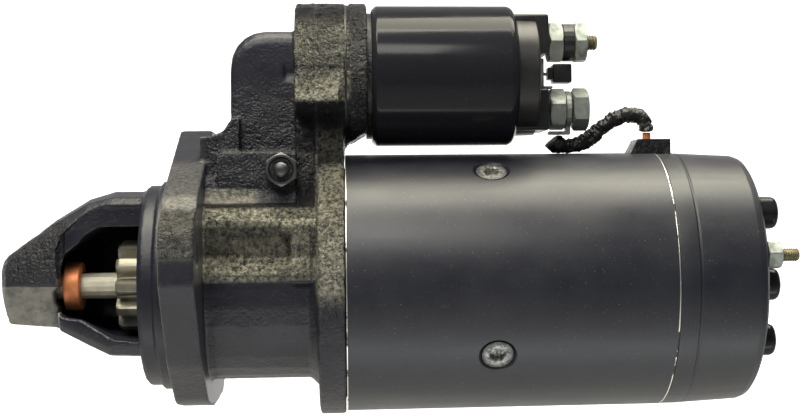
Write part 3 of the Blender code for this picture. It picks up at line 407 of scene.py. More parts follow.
def lathe(profile, centre=(0.0, 0.0), steps=192, shape=None):
    """A turned solid round a line along X; shape(angle, x, radius) may change each radius."""
    bm = bmesh.new()
    rings = []
    for x, radius in profile:
        if radius == 0.0:
            rings.append([bm.verts.new((x, *centre))])
            continue
        ring = []
        for k in range(steps):
            angle = 360.0 * k / steps
            r = shape(angle, x, radius) if shape else radius
            ring.append(bm.verts.new((x, *at_angle(r, angle, centre))))
        rings.append(ring)
    pairs = [(a, b) for a, b in zip(rings, rings[1:]) if len(a) + len(b) > 2]
    if profile[0][1] > 0.0:
        pairs.append((rings[-1], rings[0]))
    for a, b in pairs:
        for k in range(steps):
            n = (k + 1) % steps
            corners = [a[k % len(a)], a[n % len(a)], b[n % len(b)], b[k % len(b)]]
            bm.faces.new(list(dict.fromkeys(corners)))
    return bm


def prism(outline, x0, x1):
    """A (y, z) outline swept along X."""
    bm = bmesh.new()
    loops = [[bm.verts.new((x, y, z)) for y, z in outline] for x in (x0, x1)]
    bm.faces.new(loops[0])
    bm.faces.new(loops[1])
    for k in range(len(outline)):
        n = (k + 1) % len(outline)
        bm.faces.new((loops[0][k], loops[0][n], loops[1][n], loops[1][k]))
    return bm


def temporary(bm):
    """An object that holds a bmesh while modifiers work on it."""
    bmesh.ops.recalc_face_normals(bm, faces=bm.faces)
    mesh = bpy.data.meshes.new("temporary")
    bm.to_mesh(mesh)
    bm.free()
    obj = bpy.data.objects.new("temporary", mesh)
    bpy.context.scene.collection.objects.link(obj)
    return obj


def carved(base, others, operation="DIFFERENCE"):
    """The base bmesh after exact booleans with the others."""
    obj = temporary(base)
    for bm in others:
        other = temporary(bm)
        step = obj.modifiers.new("step", "BOOLEAN")
        step.operation = operation
        step.solver = "EXACT"
        step.object = other
        graph = bpy.context.evaluated_depsgraph_get()
        mesh = bpy.data.meshes.new_from_object(obj.evaluated_get(graph))
        obj.modifiers.clear()
        obj.data = mesh
        bpy.data.objects.remove(other)
    out = bmesh.new()
    out.from_mesh(obj.data)
    bpy.data.objects.remove(obj)
    return out


def radial(profile, x, degrees, steps=64, shape=None):
    """A turned solid whose axis points out from the shaft; its profile is (distance, radius)."""
    bm = lathe(profile, steps=steps, shape=shape)
    upright = Matrix.Rotation(math.radians(-90.0), 3, "Y")
    turn = Matrix.Rotation(math.radians(90.0 - degrees), 3, "X")
    bmesh.ops.rotate(bm, verts=bm.verts, cent=(0, 0, 0), matrix=upright)
    bmesh.ops.rotate(bm, verts=bm.verts, cent=(0, 0, 0), matrix=turn)
    bmesh.ops.translate(bm, verts=bm.verts, vec=(x, 0.0, 0.0))
    return bm


def hex_turned(profile, across, turn, centre):
    """A turned solid cut to a hexagon; the profile's edges near the corners are split finely."""
    flat = across / 2

    def radius_at(angle, _, radius):
        local = math.radians((angle - turn + 30.0) % 60.0 - 30.0)
        return min(flat / math.cos(math.radians(30.0) - abs(local)), radius)

    fine = []
    for (xa, ra), (xb, rb) in zip(profile, profile[1:] + profile[:1]):
        pieces = 5 if max(ra, rb) > flat * 0.96 and abs(xa - xb) > 0.01 * MM else 1
        fine += [(xa + (xb - xa) * j / pieces, ra + (rb - ra) * j / pieces) for j in range(pieces)]
    return lathe(fine, centre, 96, radius_at)


def zinc_nut(name, node, across, turn, centre, bore):
    """A nut whose corners are chamfered to cones at both ends, with a countersunk hole."""
    low, high = node_box(node)
    x0, x1 = low.x, high.x
    corner = across / math.sqrt(3)
    chamfer = across / 2 * 0.985
    drop = (corner - across / 2) * 0.62
    full = corner + 0.02 * MM
    lead = 0.5 * MM
    profile = [(x0, bore + lead), (x0, chamfer), (x0 + drop, full), (x1 - drop, full)]
    profile += [(x1, chamfer), (x1, bore + lead), (x1 - lead, bore), (x0 + lead, bore)]
    bm = hex_turned(profile, across, turn, centre)
    shown(name, bm, ZINC, "frame", node, sharp=24.0)


def thread_mesh(x0, x1, radius, pitch, centre, steps=40):
    """A rod along X with a helical V thread and chamfered ends."""
    depth = 0.55 * pitch
    chamfer = 0.8 * MM
    count = max(int((x1 - x0) / (pitch / 8)), 8)
    bm = bmesh.new()
    rings = []
    for i in range(count + 1):
        x = x0 + (x1 - x0) * i / count
        ring = []
        for k in range(steps):
            phase = ((x - x0) / pitch - k / steps) % 1.0
            thread = radius - depth * abs(phase * 2.0 - 1.0)
            r = min(thread, radius - chamfer + (x - x0), radius - chamfer + (x1 - x))
            ring.append(bm.verts.new((x, *at_angle(r, 360.0 * k / steps, centre))))
        rings.append(ring)
    for a, b in zip(rings, rings[1:]):
        for k in range(steps):
            n = (k + 1) % steps
            bm.faces.new((a[k], a[n], b[n], b[k]))
    bm.faces.new(rings[0])
    bm.faces.new(rings[-1])
    return bm


# Drive end housing: its landmarks are in millimetres, and X starts at the flange's front face

NOSE_X = (-80.0, -13.5)
TIP_X = -46.0
PILOT_X = (-13.6, 0.4)
FLANGE_X = (-1.0, 13.0)
BODY_X = (16.0, 61.0)
CHAMBER_END_X = 53.2
BOSS_X = (53.5, 76.0)
WALL_TOP_Z = 36.0
# The turned rings, as their radius and where they start and end.
TURNED = ((58.7, 63.4, 73.0), (44.5, -11.4, -6.4), (46.3, -5.6, -0.2))


def remeshed(node, voxel):
    """A voxel remesh of a CAD node's shape, as a new mesh."""
    source = NODES[node]
    obj = bpy.data.objects.new("temporary", source.data.copy())
    bpy.context.scene.collection.objects.link(obj)
    obj.matrix_world = source.matrix_world.copy()
    step = obj.modifiers.new("voxels", "REMESH")
    step.mode = "VOXEL"
    step.voxel_size = voxel
    relax = obj.modifiers.new("relax", "SMOOTH")
    relax.factor = 0.5
    relax.iterations = 4
    graph = bpy.context.evaluated_depsgraph_get()
    mesh = bpy.data.meshes.new_from_object(obj.evaluated_get(graph))
    bpy.data.objects.remove(obj)
    return mesh


def smoothstep(value, low, high):
    t = np.clip((value - low) / (high - low), 0.0, 1.0)
    return t * t * (3.0 - 2.0 * t)


def true_up(points, centre, radius, x_range, reach=0.8 * MM):
    """Points near a turned face are moved onto its exact circle, which removes facets."""
    y = points[:, 1] - centre[0]
    z = points[:, 2] - centre[1]
    r = np.hypot(y, z)
    near = (np.abs(r - radius) < reach) & (points[:, 0] > x_range[0]) & (points[:, 0] < x_range[1])
    scale = np.where(near, radius / np.maximum(r, 1e-6), 1.0)
    points[:, 1] = centre[0] + y * scale
    points[:, 2] = centre[1] + z * scale
    return points


def band(value, low, high, soft=2.0):
    """1 between two limits, easing to 0 outside them."""
    return smoothstep(value, low - soft, low) * (1.0 - smoothstep(value, high, high + soft))


def grain_of(points):
    """How rough the cast skin is at each point: 1 on sand-cast walls, 0 on turned and fettled faces."""
    x, y, z = points.T / MM
    radius = np.hypot(y, z)
    nose = band(x, *NOSE_X) * (0.12 + 0.45 * smoothstep(z, 0.0, 6.0) * (x < TIP_X))
    flange = band(x, *FLANGE_X) * (0.10 + 0.6 * band(z, 15.0, 32.0) * (y < -30.0))
    walls = band(x, *BODY_X) * (0.10 + 0.90 * smoothstep(z, 2.0, 6.0))
    chamber = 0.30 - 0.24 * smoothstep(z, 70.0, 92.0)
    walls = np.where((z > WALL_TOP_Z) & (x < CHAMBER_END_X), walls * chamber, walls)
    rear = smoothstep(x, 60.0, 64.0) * (0.22 + 0.78 * smoothstep(z, -22.0, 10.0))
    grain = np.maximum.reduce([nose, flange, walls, rear])
    pilot = (x > PILOT_X[0]) & (x < PILOT_X[1]) & (radius > 38.0) & (radius < 47.0)
    inside = (radius < 30.5) & (x > TIP_X - 1.0)
    rear_face = (x > 73.2) & (radius < 57.0)
    return np.where(pilot | inside | rear_face, 0.03, grain)


def painted_highlight_of(points):
    """Painted highlight: how much sandy grey is painted on, most on the near side's ledges that look up and
    out, where the lights above and in front would glint.
    """
    x, y, z = points.T / MM
    near = smoothstep(-y, 20.0, 28.0)
    front = 1.0 - 0.45 * smoothstep(x, 38.0, 50.0)
    ledges = front * (1.2 * band(z, 27.0, 33.0, 1.5) + 1.3 * band(z, 4.0, 12.0))
    ledges += 0.7 * band(z, 36.5, 41.5, 1.5) * band(x, 15.0, 34.0, 5.0)
    side = band(x, *BODY_X) * (ledges + 0.50 * band(z, 10.0, 28.0))
    rear = 0.75 * smoothstep(x, 61.0, 63.5) * band(z, 2.0, 60.0, 12.0)
    boss = band(x, *BOSS_X) * (0.8 * band(z, 81.0, 92.0) + 0.38 * band(z, 96.0, 117.0))
    flange = band(x, 1.0, 13.0) * (0.22 * band(z, 16.0, 36.0, 5.0) + 0.16 * band(z, 38.0, 62.0, 8.0))
    return near * np.clip(np.maximum.reduce([side, rear, boss, flange]), 0.0, 1.3)


def mesh_points(mesh, what):
    values = np.empty(len(mesh.vertices) * 3)
    mesh.vertices.foreach_get(what, values)
    return values.reshape(-1, 3)


def set_attribute(mesh, name, values):
    attribute = mesh.attributes.new(name, "FLOAT", "POINT")
    attribute.data.foreach_set("value", values.astype(np.float32))


def cast_piece(name, node, mesh, points, grain, bare_and_painted_reflection):
    """Gives a remeshed casting its moved points and the attributes that its material reads."""
    mesh.vertices.foreach_set("co", points.reshape(-1))
    mesh.update()
    set_attribute(mesh, "grain", grain)
    set_attribute(mesh, "bare_and_painted_reflection", bare_and_painted_reflection)
    set_attribute(mesh, "rub_and_painted_highlight", painted_highlight_of(points))
    mesh.shade_smooth()
    mesh.materials.clear()
    mesh.materials.append(CAST)
    obj = bpy.data.objects.new(name, mesh)
    bpy.context.scene.collection.objects.link(obj)
    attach(obj, "frame")
    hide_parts(node)


def lumps_at(points, sizes):
    """Noise at each point in millimetres, summed over (features per metre, height) pairs."""
    return np.array([sum(noise.noise(Vector(p) * scale) * height for scale, height in sizes) for p in points])


def casting():
    """The housing as a sand casting: soft corners, a lumpy skin, and smooth turned faces."""
    mesh = remeshed("drive_end_housing", 0.8 * MM)
    points = mesh_points(mesh, "co")
    grain = grain_of(points)
    lift = lumps_at(points, [(100.0, 0.34), (240.0, 0.50), (560.0, 0.34)])
    points += mesh_points(mesh, "normal") * (lift * grain * MM)[:, None]
    for radius, x0, x1 in TURNED:
        points = true_up(points, (0.0, 0.0), radius * MM, (x0 * MM, x1 * MM))
    x, y, z = points.T / MM
    # The nose tip's lower facet is painted light grey, a painted reflection of the pale floor it faces; the
    # pilot step is worn bare.
    painted_reflection_facet = (x < -49.0) & (z < 0.8) & (y < -5.0)
    pilot_step = 0.6 * band(x, -0.9, 0.1, 0.5) * (np.hypot(y, z) > 45.6)
    bare_and_painted_reflection = np.maximum(painted_reflection_facet.astype(float), pilot_step)
    cast_piece("cast_housing", "drive_end_housing", mesh, points, grain, bare_and_painted_reflection)


# Yoke and rear cap


def grommet_notch(x0, x1):
    """Cuts the slot that the lead's grommet sits in."""
    low, high = node_box("lead_grommet")
    gap = 0.3 * MM
    depth = 8.0 * MM
    sides = (low.y - gap, high.y + gap)
    ends = (low.z - depth, high.z + depth)
    outline = [(sides[0], ends[0]), (sides[1], ends[0]), (sides[1], ends[1]), (sides[0], ends[1])]
    return prism(outline, x0, x1)


def yoke():
    """The body tube, with a countersink at each pole screw and a worn bright seam at each end."""
    x0, x1 = YOKE_LOW.x, YOKE_HIGH.x
    bore = YOKE_RADIUS - 6.5 * MM
    profile = eased([(x0, bore), (x0, YOKE_RADIUS), (x1, YOKE_RADIUS), (x1, bore)], 0.7 * MM)
    sink = [(45.0, 0.0), (45.0, 4.4), (53.4, 4.4), (57.2, 8.0), (58.3, 8.7), (62.0, 8.7), (62.0, 0.0)]
    sinks = [radial(in_metres(sink), POLE_SCREW_X, a) for a in POLE_ANGLES]
    notch = grommet_notch(node_box("lead_grommet")[0].x - 0.3 * MM, x1 + 5 * MM)
    bm = carved(lathe(profile, steps=240), [*sinks, notch])
    shown("yoke_shell", bm, PAINT, "frame", "yoke_tube")
    inner, outer = YOKE_RADIUS - 3.0 * MM, YOKE_RADIUS - 0.02 * MM
    for name, place, width in (
        ("seam_front", x0 - 0.05 * MM, 0.5 * MM),
        ("seam_rear", x1 - 0.1 * MM, 0.55 * MM),
    ):
        near, far = place - width / 2, place + width / 2
        ring = eased([(near, inner), (near, outer), (far, outer), (far, inner)], 0.15 * MM)
        shown(name, lathe(ring, steps=240), SEAM, "frame")


def pole_screw(k, degrees):
    """A countersunk head with a six-lobed socket; the socket and the rim are rubbed bright."""
    profile = [(45.0, 0.0), (45.0, 4.0), (53.9, 4.0), (56.3, 6.6), (56.75, 6.7), (56.9, 6.3), (56.9, 3.9)]
    profile += [(56.6, 3.6), (54.0, 3.4), (53.6, 0.0)]

    def lobes(angle, x, radius):
        if x <= 53.7 * MM or radius >= 3.95 * MM:
            return radius
        return radius * (1.0 - 0.13 * (0.5 + 0.5 * math.cos(math.radians(angle * 6.0))))

    bm = radial(in_metres(profile), POLE_SCREW_X, degrees, 96, lobes)
    rub_and_painted_highlight = bm.verts.layers.float.new("rub_and_painted_highlight")
    out = Vector((0.0, *at_angle(1.0, degrees)))
    for vert in bm.verts:
        arm = vert.co - Vector((POLE_SCREW_X, 0.0, 0.0))
        height = arm.dot(out)
        reach = (arm - out * height).length
        socket = reach < 4.1 * MM and height > 53.0 * MM
        rim = reach > 6.0 * MM and height > 56.0 * MM
        vert[rub_and_painted_highlight] = 0.9 if socket else 0.16 if rim else 0.04
    shown(f"pole_screw_head_{k}", bm, SCREW, "frame", f"pole_screw_{k}")


def rear_cap():
    """A drawn cup with a groove behind its lip, a round shoulder and a raised boss at the bearing."""
    lip = 215.4
    outside = [(lip, 51.5), (lip, 57.35), (223.6, 57.35), (224.0, 56.85), (224.5, 56.85), (224.9, 57.2)]
    outside += [(250.5, 55.9), (253.2, 54.9), (254.6, 53.0), (255.0, 50.5), (255.0, 14.5), (257.2, 12.4)]
    outside += [(257.5, 11.0), (257.5, 0.0)]
    inside = [(250.0, 0.0), (249.8, 8.6), (229.6, 8.6), (229.6, 13.0), (250.5, 15.0)]
    inside += [(250.5, 48.5), (248.0, 51.5)]
    outside, inside = in_metres(outside), in_metres(inside)
    ease = 0.35 * MM
    profile = eased(outside, ease)[:-1] + [outside[-1]] + [inside[0]] + eased(inside, ease)[1:]
    notch = grommet_notch((lip - 5.0) * MM, node_box("lead_grommet")[1].x + 0.3 * MM)
    bm = carved(lathe(profile, steps=240), [notch])
    shown("rear_cap_shell", bm, PAINT, "frame", "commutator_end_cap")


def soft_hex(angle, _, radius):
    """A screw head whose six sides only just show; its shank stays round."""
    if radius <= 3 * MM:
        return radius
    return radius * (1.0 - 0.035 * (0.5 - 0.5 * math.cos(math.radians(angle * 6.0))))


def rear_fasteners():
    """The four domed cap screws, and the ends of the two through bolts with their nuts."""
    face = CAP_HIGH.x - 2.5 * MM + 0.3 * MM
    for k in range(1, 5):
        low, high = node_box(f"cap_screw_{k}")
        r = (high.y - low.y) / 2
        top = high.x
        profile = [(low.x, 0.0), (low.x, 2.4 * MM), (face, 2.4 * MM), (face, r), (face + 0.8 * MM, r)]
        profile += [(top - 2.6 * MM, r * 0.985), (top - 1.2 * MM, r * 0.90), (top - 0.3 * MM, r * 0.72)]
        profile += [(top, r * 0.45), (top, 0.0)]
        bm = lathe(eased(profile, 0.5 * MM), yz_centre(f"cap_screw_{k}"), 96, soft_hex)
        shown(f"cap_screw_head_{k}", bm, GLOSS, "frame", f"cap_screw_{k}")
    for k in (1, 2):
        nut, bolt = f"through_nut_{k}", f"through_bolt_{k}"
        zinc_nut(f"through_nut_hex_{k}", nut, 11.0 * MM, 10.0, yz_centre(nut), 3.2 * MM)
        low, high = node_box(bolt)
        bm = thread_mesh(low.x, high.x, 2.9 * MM, 1.0 * MM, yz_centre(bolt), steps=24)
        shown(f"through_bolt_rod_{k}", bm, YELLOW_ZINC, "frame", bolt, sharp=60.0)


# Solenoid


def solenoid_body():
    """The deep-drawn can: a chamfered front edge, and a rim rolled over the moulded cap."""
    x0, x1 = CASE_LOW.x, CASE_HIGH.x
    r = CASE_RADIUS
    profile = [(x0, 13.0 * MM), (x0, r - 1.9 * MM), (x0 + 2.2 * MM, r), (x1 - 3.0 * MM, r)]
    profile += [(x1 - 1.2 * MM, r - 0.8 * MM), (x1, r - 2.6 * MM), (x1 - 0.3 * MM, 29.2 * MM)]
    profile += [(x1 - 5.0 * MM, 29.2 * MM), (x0 + 3.0 * MM, 29.4 * MM), (x0 + 3.0 * MM, 13.0 * MM)]
    bm = lathe(eased(profile, 0.6 * MM), SOLENOID_AXIS, 224)
    shown("solenoid_can", bm, GLOSS, "frame", "solenoid_case")


def solenoid_ring():
    """The cast ring between the boss and the can, with the same rough skin, and its two dark gaskets."""
    mesh = remeshed("solenoid_flange", 0.7 * MM)
    points = mesh_points(mesh, "co")
    lift = lumps_at(points, [(300.0, 0.22), (640.0, 0.2)])
    points = true_up(points, SOLENOID_AXIS, 32.7 * MM, (77.0 * MM, 84.0 * MM), 0.7 * MM)
    points += mesh_points(mesh, "normal") * (lift * MM)[:, None]
    grain = np.full(len(points), 0.8)
    cast_piece("solenoid_front_ring", "solenoid_flange", mesh, points, grain, grain * 0.0)
    for name, x0, x1, radius in (("flange_gasket", 74.7, 75.6, 32.1), ("can_gasket", 84.2, 86.9, 28.4)):
        profile = eased(in_metres([(x0, 18.0), (x0, radius), (x1, radius), (x1, 18.0)]), 0.2 * MM)
        shown(name, lathe(profile, SOLENOID_AXIS, 128), RUBBER, "frame")


def rounded_block(low, high, radius, steps=5):
    """A box in millimetres with rounded edges."""
    bm = bmesh.new()
    bmesh.ops.create_cube(bm, size=1.0)
    low, high = Vector(low) * MM, Vector(high) * MM
    for vert in bm.verts:
        vert.co = Vector((low[k] + (high[k] - low[k]) * (vert.co[k] + 0.5) for k in range(3)))
    bmesh.ops.bevel(
        bm, geom=bm.edges[:] + bm.verts[:], offset=radius * MM, segments=steps, profile=0.5, affect="EDGES"
    )
    return bm


def solenoid_end():
    """The moulded cap with its two terminal blocks, and the control terminal's plug, blade and tab."""
    profile = [(145.8, 12.0), (145.8, 28.8), (151.2, 28.8), (151.2, 27.3), (160.9, 27.0), (160.9, 12.0)]
    base = lathe(eased(in_metres(profile), 1.4 * MM, 6), SOLENOID_AXIS, 160)
    blocks = [
        rounded_block((150.0, -13.4, 67.7), (166.3, 13.4, 86.4), 1.3),
        rounded_block((150.0, -13.4, 102.0), (166.3, 13.4, 119.9), 1.3),
        rounded_block((150.0, -6.0, 86.0), (163.0, 6.0, 103.0), 0.8),
    ]
    cap = carved(base, blocks, "UNION")
    shown("solenoid_cap_moulding", cap, MOULDING, "frame", "solenoid_cap")
    plug = rounded_block((169.2, -4.5, 89.7), (177.9, 4.5, 98.3), 0.8)
    neck = rounded_block((167.0, -3.2, 91.2), (170.2, 3.2, 96.8), 0.5)
    plug = carved(plug, [neck], "UNION")
    shown("control_plug", plug, MOULDING, "frame", "control_terminal")
    shown("control_blade", rounded_block((159.0, -3.1, 93.4), (168.2, 3.1, 94.4), 0.2), ZINC, "frame")
    foot = rounded_block((163.2, -7.4, 86.9), (168.6, -1.6, 87.9), 0.25)
    upright = rounded_block((163.2, -7.4, 86.9), (164.6, -1.6, 100.4), 0.25)
    shown("control_tab", carved(foot, [upright], "UNION"), ZINC, "frame")


def terminals():
    """The battery and motor studs, each with two nuts of 17 mm across flats."""
    battery = (0.0, yz_centre("battery_inner_nut")[1])
    motor = (0.0, yz_centre("motor_stud")[1])
    for name, node, centre, turn in (
        ("battery_nut_inner", "battery_inner_nut", battery, 0.0),
        ("battery_nut_outer", "battery_outer_nut", battery, 0.0),
        ("motor_nut_inner", "motor_inner_nut", motor, 12.0),
        ("motor_nut_outer", "motor_outer_nut", motor, 30.0),
    ):
        zinc_nut(name, node, 17.0 * MM, turn, centre, 3.9 * MM)
    for node in ("battery_stud", "motor_stud"):
        low, high = node_box(node)
        centre = (0.0, yz_centre(node)[1])
        neck = low.x + 3.2 * MM
        head = lathe(eased([(low.x, 0.0), (low.x, 7 * MM), (neck, 7 * MM), (neck, 0.0)]), centre, 48)
        rod = thread_mesh(low.x + 2.5 * MM, high.x, 3.6 * MM, 1.25 * MM, centre)
        bm = carved(head, [rod], "UNION")
        shown(f"{node}_threaded", bm, YELLOW_ZINC, "frame", node, sharp=60.0)


def sleeve_radius(i, swing, ends):
    """The wrinkled sleeve's radius at ring i of the route; ends counts the rings to the nearest end."""
    x, y = math.cos(swing), math.sin(swing)
    fold = noise.noise(Vector((i * 0.30, x * 0.9, y * 0.9)))
    crease = noise.noise(Vector((i * 0.11 + 7.0, x * 1.6, y * 1.6)))
    pinch = abs(noise.noise(Vector((i * 0.17 + 3.0, x * 1.1, y * 1.1))))
    r = 3.6 * MM + (fold * 0.55 + crease * 0.75 - pinch * 0.7) * MM
    r *= 0.55 if ends == 0 else 0.86 if ends == 1 else 1.0
    flare = 1.0 + 0.28 * max(0.0, 1.0 - i / 16.0)
    return r * flare


def sleeve():
    """The wrinkled sleeve of the field lead, swept along the lead's route."""
    route = [
        (169.8, 1.0, 63.6),
        (170.8, 1.6, 62.4),
        (173.6, 3.2, 61.4),
        (179.5, 5.0, 61.4),
        (186.0, 5.0, 63.8),
        (192.5, 4.5, 69.0),
        (199.0, 3.5, 73.6),
        (205.6, 2.0, 75.4),
        (210.8, 0.5, 73.6),
        (212.8, 0.0, 69.6),
        (213.0, 0.0, 67.2),
    ]
    places = smooth_route([Vector(p) * MM for p in route], 170)
    last = len(places) - 1
    bm = bmesh.new()
    rings = []
    side = Vector((0.0, 1.0, 0.0))
    steps = 36
    for i, place in enumerate(places):
        ahead = places[min(i + 1, last)] - places[max(i - 1, 0)]
        ahead.normalize()
        side = (side - ahead * side.dot(ahead)).normalized()
        up = ahead.cross(side)
        ring = []
        for k in range(steps):
            swing = 2 * math.pi * k / steps
            out = side * math.cos(swing) + up * math.sin(swing)
            ring.append(bm.verts.new(place + out * sleeve_radius(i, swing, min(i, last - i))))
        rings.append(ring)
    for a, b in zip(rings, rings[1:]):
        for k in range(steps):
            n = (k + 1) % steps
            bm.faces.new((a[k], a[n], b[n], b[k]))
    bm.faces.new(rings[0])
    bm.faces.new(rings[-1])
    shown("field_lead_sleeve", bm, RUBBER, "frame", "field_lead", sharp=50.0)


def catmull_rom(a, b, c, d, t):
    """The point a share t of the way from b to c, on a curve through all four."""
    line = b * 2 + (c - a) * t
    return (line + (a * 2 - b * 5 + c * 4 - d) * t * t + (b * 3 - a - c * 3 + d) * t ** 3) / 2


def smooth_route(points, count):
    """Evenly spaced points on a Catmull-Rom curve through the route's points."""
    ends = [points[0] * 2 - points[1]] + points + [points[-1] * 2 - points[-2]]
    samples = 24
    fine = []
    for k in range(1, len(ends) - 2):
        fine += [catmull_rom(*ends[k - 1 : k + 3], j / samples) for j in range(samples)]
    fine.append(points[-1])
    lengths = [0.0]
    for p, q in zip(fine, fine[1:]):
        lengths.append(lengths[-1] + (q - p).length)
    out = []
    k = 0
    for j in range(count):
        target = lengths[-1] * j / (count - 1)
        while k < len(fine) - 2 and lengths[k + 1] < target:
            k += 1
        share = (target - lengths[k]) / (lengths[k + 1] - lengths[k])
        out.append(fine[k].lerp(fine[k + 1], share))
    return out


# Shaft line


def pinion_outline():
    """Eleven teeth with curved flanks, rounded roots and flat tips, as (y, z) points."""
    teeth = 11
    pitch = 360.0 / teeth
    # Half a tooth from the root to the tip: the share of the pitch from its middle, and the radius.
    half = [(0.50, 14.75), (0.42, 14.85), (0.355, 15.5), (0.31, 16.8)]
    half += [(0.265, 18.2), (0.205, 19.6), (0.165, 20.2), (0.10, 20.3)]
    outline = []
    for k in range(teeth):
        outline += [at_angle(r * MM, (k - share) * pitch) for share, r in half]
        outline += [at_angle(r * MM, (k + share) * pitch) for share, r in reversed(half[1:])]
    return outline


def pinion():
    """Hardened pinion with its tooth ends chamfered towards the ring gear, and a plain hub behind."""
    low, high = node_box("pinion")
    teeth_end = -3.0 * MM
    bm = bmesh.new()
    outline = pinion_outline()
    stations = [(low.x, 0.945), (low.x + 0.7 * MM, 0.975), (low.x + 1.8 * MM, 1.0), (teeth_end, 1.0)]
    teeth = [[bm.verts.new((x, y * s, z * s)) for y, z in outline] for x, s in stations]

    def rounds(profile):
        return [[bm.verts.new((x, *at_angle(r * MM, 5.0 * k))) for k in range(72)] for x, r in profile]

    bore = rounds(
        [(low.x, 6.9), (low.x + 0.6 * MM, 6.25), (-2.0 * MM, 6.25), (-1.9 * MM, 7.4), (high.x, 7.4)]
    )
    hub = rounds([(teeth_end, 13.5), (high.x - 0.5 * MM, 13.5), (high.x, 13.0)])
    for group in (teeth, bore, hub):
        for a, b in zip(group, group[1:]):
            for k in range(len(a)):
                n = (k + 1) % len(a)
                bm.faces.new((a[k], a[n], b[n], b[k]))
    for loops in ((teeth[0], bore[0]), (teeth[-1], hub[0]), (hub[-1], bore[-1])):
        edges = [bm.edges.get((p, q)) for loop in loops for p, q in zip(loop, loop[1:] + loop[:1])]
        bmesh.ops.bridge_loops(bm, edges=edges)
    shown("pinion_gear", bm, STEEL, "drive_pinion", "pinion", sharp=38.0)


def stop_ring():
    """The copper coloured ring at the end of the pinion's travel."""
    low, high = node_box("stop_ring")
    r = (high.y - low.y) / 2
    bore = 5.9 * MM
    profile = eased([(low.x, bore), (low.x, r), (high.x, r), (high.x, bore)], 1.1 * MM, 6)
    shown("stop_ring_turned", lathe(profile, steps=128), COPPER, "armature", "stop_ring")


# Small visible hardware on the housing


def pivot_hardware():
    """The pivot bolt's end with its thread, and a locking nut with a dark insert."""
    low, high = node_box("pivot_bolt")
    centre_x = (low.x + high.x) / 2
    centre_z = (low.z + high.z) / 2
    to_y = Matrix.Rotation(math.radians(90.0), 3, "Z")

    def placed(bm):
        bmesh.ops.rotate(bm, verts=bm.verts, cent=(0, 0, 0), matrix=to_y)
        bmesh.ops.translate(bm, verts=bm.verts, vec=(centre_x, 0.0, centre_z))
        return bm

    rod = thread_mesh(low.y, 30.0 * MM, 3.1 * MM, 1.0 * MM, (0.0, 0.0))
    head = lathe(eased(in_metres([(33.3, 0.0), (33.3, 7.2), (38.5, 7.2), (38.5, 0.0)])), steps=64)
    shank = lathe(in_metres([(29.0, 0.0), (29.0, 3.8), (34.0, 3.8), (34.0, 0.0)]), steps=40)
    bolt = placed(carved(rod, [shank, head], "UNION"))
    shown("pivot_bolt_threaded", bolt, DARK_STEEL, "frame", "pivot_bolt", sharp=60.0)
    low, high = node_box("pivot_nut")
    nut = placed(pivot_nut(low.y, high.y))
    shown("pivot_nut_hex", nut, DARK_STEEL, "frame", "pivot_nut", sharp=24.0)
    near, far = low.y + 0.7 * MM, low.y + 3.0 * MM
    insert = lathe([(near, 3.2 * MM), (near, 4.9 * MM), (far, 4.9 * MM), (far, 3.2 * MM)], steps=64)
    shown("pivot_nut_insert", placed(insert), RUBBER, "frame")


def pivot_nut(x0, x1):
    """A nut of 13 mm across flats, chamfered in front, with a recess for its insert."""
    across = 13.0 * MM
    bore = 4.1 * MM
    corner = across / math.sqrt(3)
    full = corner + 0.02 * MM
    drop = (corner - across / 2) * 0.7
    recess = x0 + 1.3 * MM
    profile = [(recess, bore), (recess, bore + 0.9 * MM), (x0, bore + 1.3 * MM), (x0, across / 2 * 0.97)]
    profile += [(x0 + drop, full), (x1, full), (x1, bore)]
    return hex_turned(profile, across, 30.0, (0.0, 0.0))


# Nodes that keep their CAD shape


def dress_cad_nodes():
    """Materials for every CAD node, and a small bevel on those that are shown as they are."""
    for part in frame["record"]["subparts"]:
        obj = NODES[part["node"]]
        look = SHAFT_STEEL_PAINTED_LIGHT if part["node"] == "armature_shaft" else LOOKS[part["material_slot"]]
        obj.data.materials.clear()
        obj.data.materials.append(look)
        if not obj.hide_render:
            soften(obj, 0.25 * MM)


# Stage


def stage_white(floor_z):
    """Pale floor that turns into a lit wall, which fades out above the camera's view."""
    g = Graph("stage_white")
    place = g.node("ShaderNodeSeparateXYZ")
    g.link(g.coords, place.inputs[0])
    height = g.math("MULTIPLY", g.math("ADD", place.outputs["Z"], -floor_z), 0.5)
    glow = g.ramp(height, [(0.04, 0.0), (0.09, 1.0), (0.41, 1.0), (0.52, 0.14)])
    g.link(glow, g.shader.inputs["Emission Color"])
    g.shader.inputs["Emission Strength"].default_value = 1.0
    return g.finish((0.72, 0.72, 0.72), 0.9, 0.0)


def backdrop():
    """The floor and the wall as one sheet with a round cove between them."""
    floor_z = -0.45
    wall_y = 1.3
    cove = 0.35
    side = 4.5
    path = [(-2.5, floor_z), (wall_y - cove, floor_z)]
    for k in range(1, 13):
        a = math.radians(90.0 * k / 12)
        path.append((wall_y - cove + cove * math.sin(a), floor_z + cove * (1.0 - math.cos(a))))
    path.append((wall_y, 2.2))
    bm = bmesh.new()
    rows = [[bm.verts.new((x, y, z)) for x in (-side, side)] for y, z in path]
    for a, b in zip(rows, rows[1:]):
        bm.faces.new((a[0], a[1], b[1], b[0]))
    mesh = bpy.data.meshes.new("backdrop")
    bm.to_mesh(mesh)
    bm.free()
    mesh.shade_smooth()
    mesh.materials.append(stage_white(floor_z))
    obj = bpy.data.objects.new("backdrop", mesh)
    bpy.context.scene.collection.objects.link(obj)


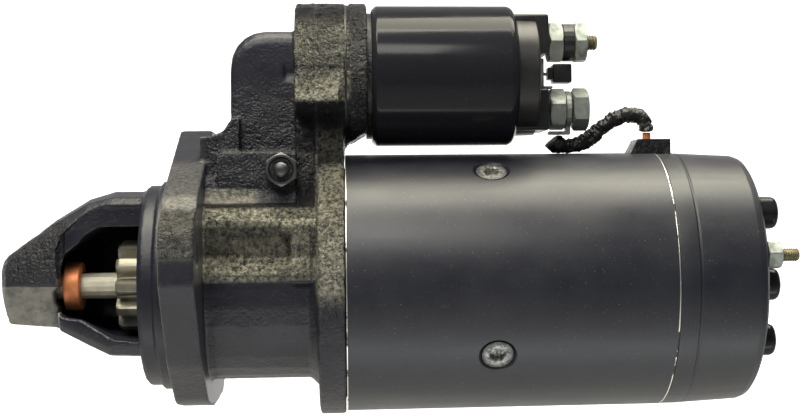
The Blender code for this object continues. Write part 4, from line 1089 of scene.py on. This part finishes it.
def studio():
    """Soft light overhead with a thin bright strip, a weaker one in front and one low down."""
    backdrop()
    world = bpy.data.worlds.new("studio_world")
    world.use_nodes = True
    sky = world.node_tree.nodes["Background"]
    sky.inputs["Color"].default_value = (0.74, 0.84, 1.0, 1.0)
    sky.inputs["Strength"].default_value = 0.11
    bpy.context.scene.world = world
    bpy.context.scene.view_settings.view_transform = "Standard"
    area_light("overhead", (0.10, -0.05, 0.80), (0.08, 0.0, 0.0), 1.4, 0.38, 17.5, (1.0, 0.95, 0.76))
    area_light("overhead_strip", (0.10, -0.21, 0.80), (0.08, 0.0, 0.05), 1.3, 0.018, 2.2, (1.0, 0.98, 0.94))
    area_light("front_high", (-0.15, -0.85, 0.85), (0.08, 0.0, 0.05), 0.7, 0.3, 8.0, (1.0, 0.97, 0.90))
    area_light("low_strip", (0.10, -0.27, -0.42), (0.08, 0.0, 0.0), 1.3, 0.06, 1.05, (0.84, 0.92, 1.0))


def area_light(name, place, target, width, height, watts, colour):
    """A rectangular light at a place, aimed at a target."""
    light = bpy.data.lights.new(name, "AREA")
    light.shape = "RECTANGLE"
    light.size = width
    light.size_y = height
    light.energy = watts
    light.color = colour
    obj = bpy.data.objects.new(name, light)
    obj.location = place
    direction = Vector(target) - Vector(place)
    obj.rotation_euler = direction.to_track_quat("-Z", "Y").to_euler()
    bpy.context.scene.collection.objects.link(obj)


def camera():
    """Level with the lower motor body, in front of the solenoid mount, turned a little to the rear."""
    data = bpy.data.cameras.new("camera")
    data.lens = 64.35
    data.sensor_width = 36.0
    data.shift_x = -0.09125
    obj = bpy.data.objects.new("camera", data)
    obj.location = (0.0755, -0.650, 0.0325)
    level = Matrix.Rotation(math.radians(90.0), 4, "X")
    yaw = Matrix.Rotation(math.radians(-5.0), 4, "Z")
    roll = Matrix.Rotation(math.radians(-0.6), 4, "Z")
    obj.rotation_euler = (yaw @ level @ roll).to_euler()
    bpy.context.scene.collection.objects.link(obj)
    bpy.context.scene.camera = obj


def main():
    camera()
    studio()
    casting()
    solenoid_ring()
    yoke()
    for k, angle in enumerate(POLE_ANGLES, 1):
        pole_screw(k, angle)
    rear_cap()
    rear_fasteners()
    solenoid_body()
    solenoid_end()
    terminals()
    sleeve()
    pinion()
    stop_ring()
    pivot_hardware()
    dress_cad_nodes()


main()
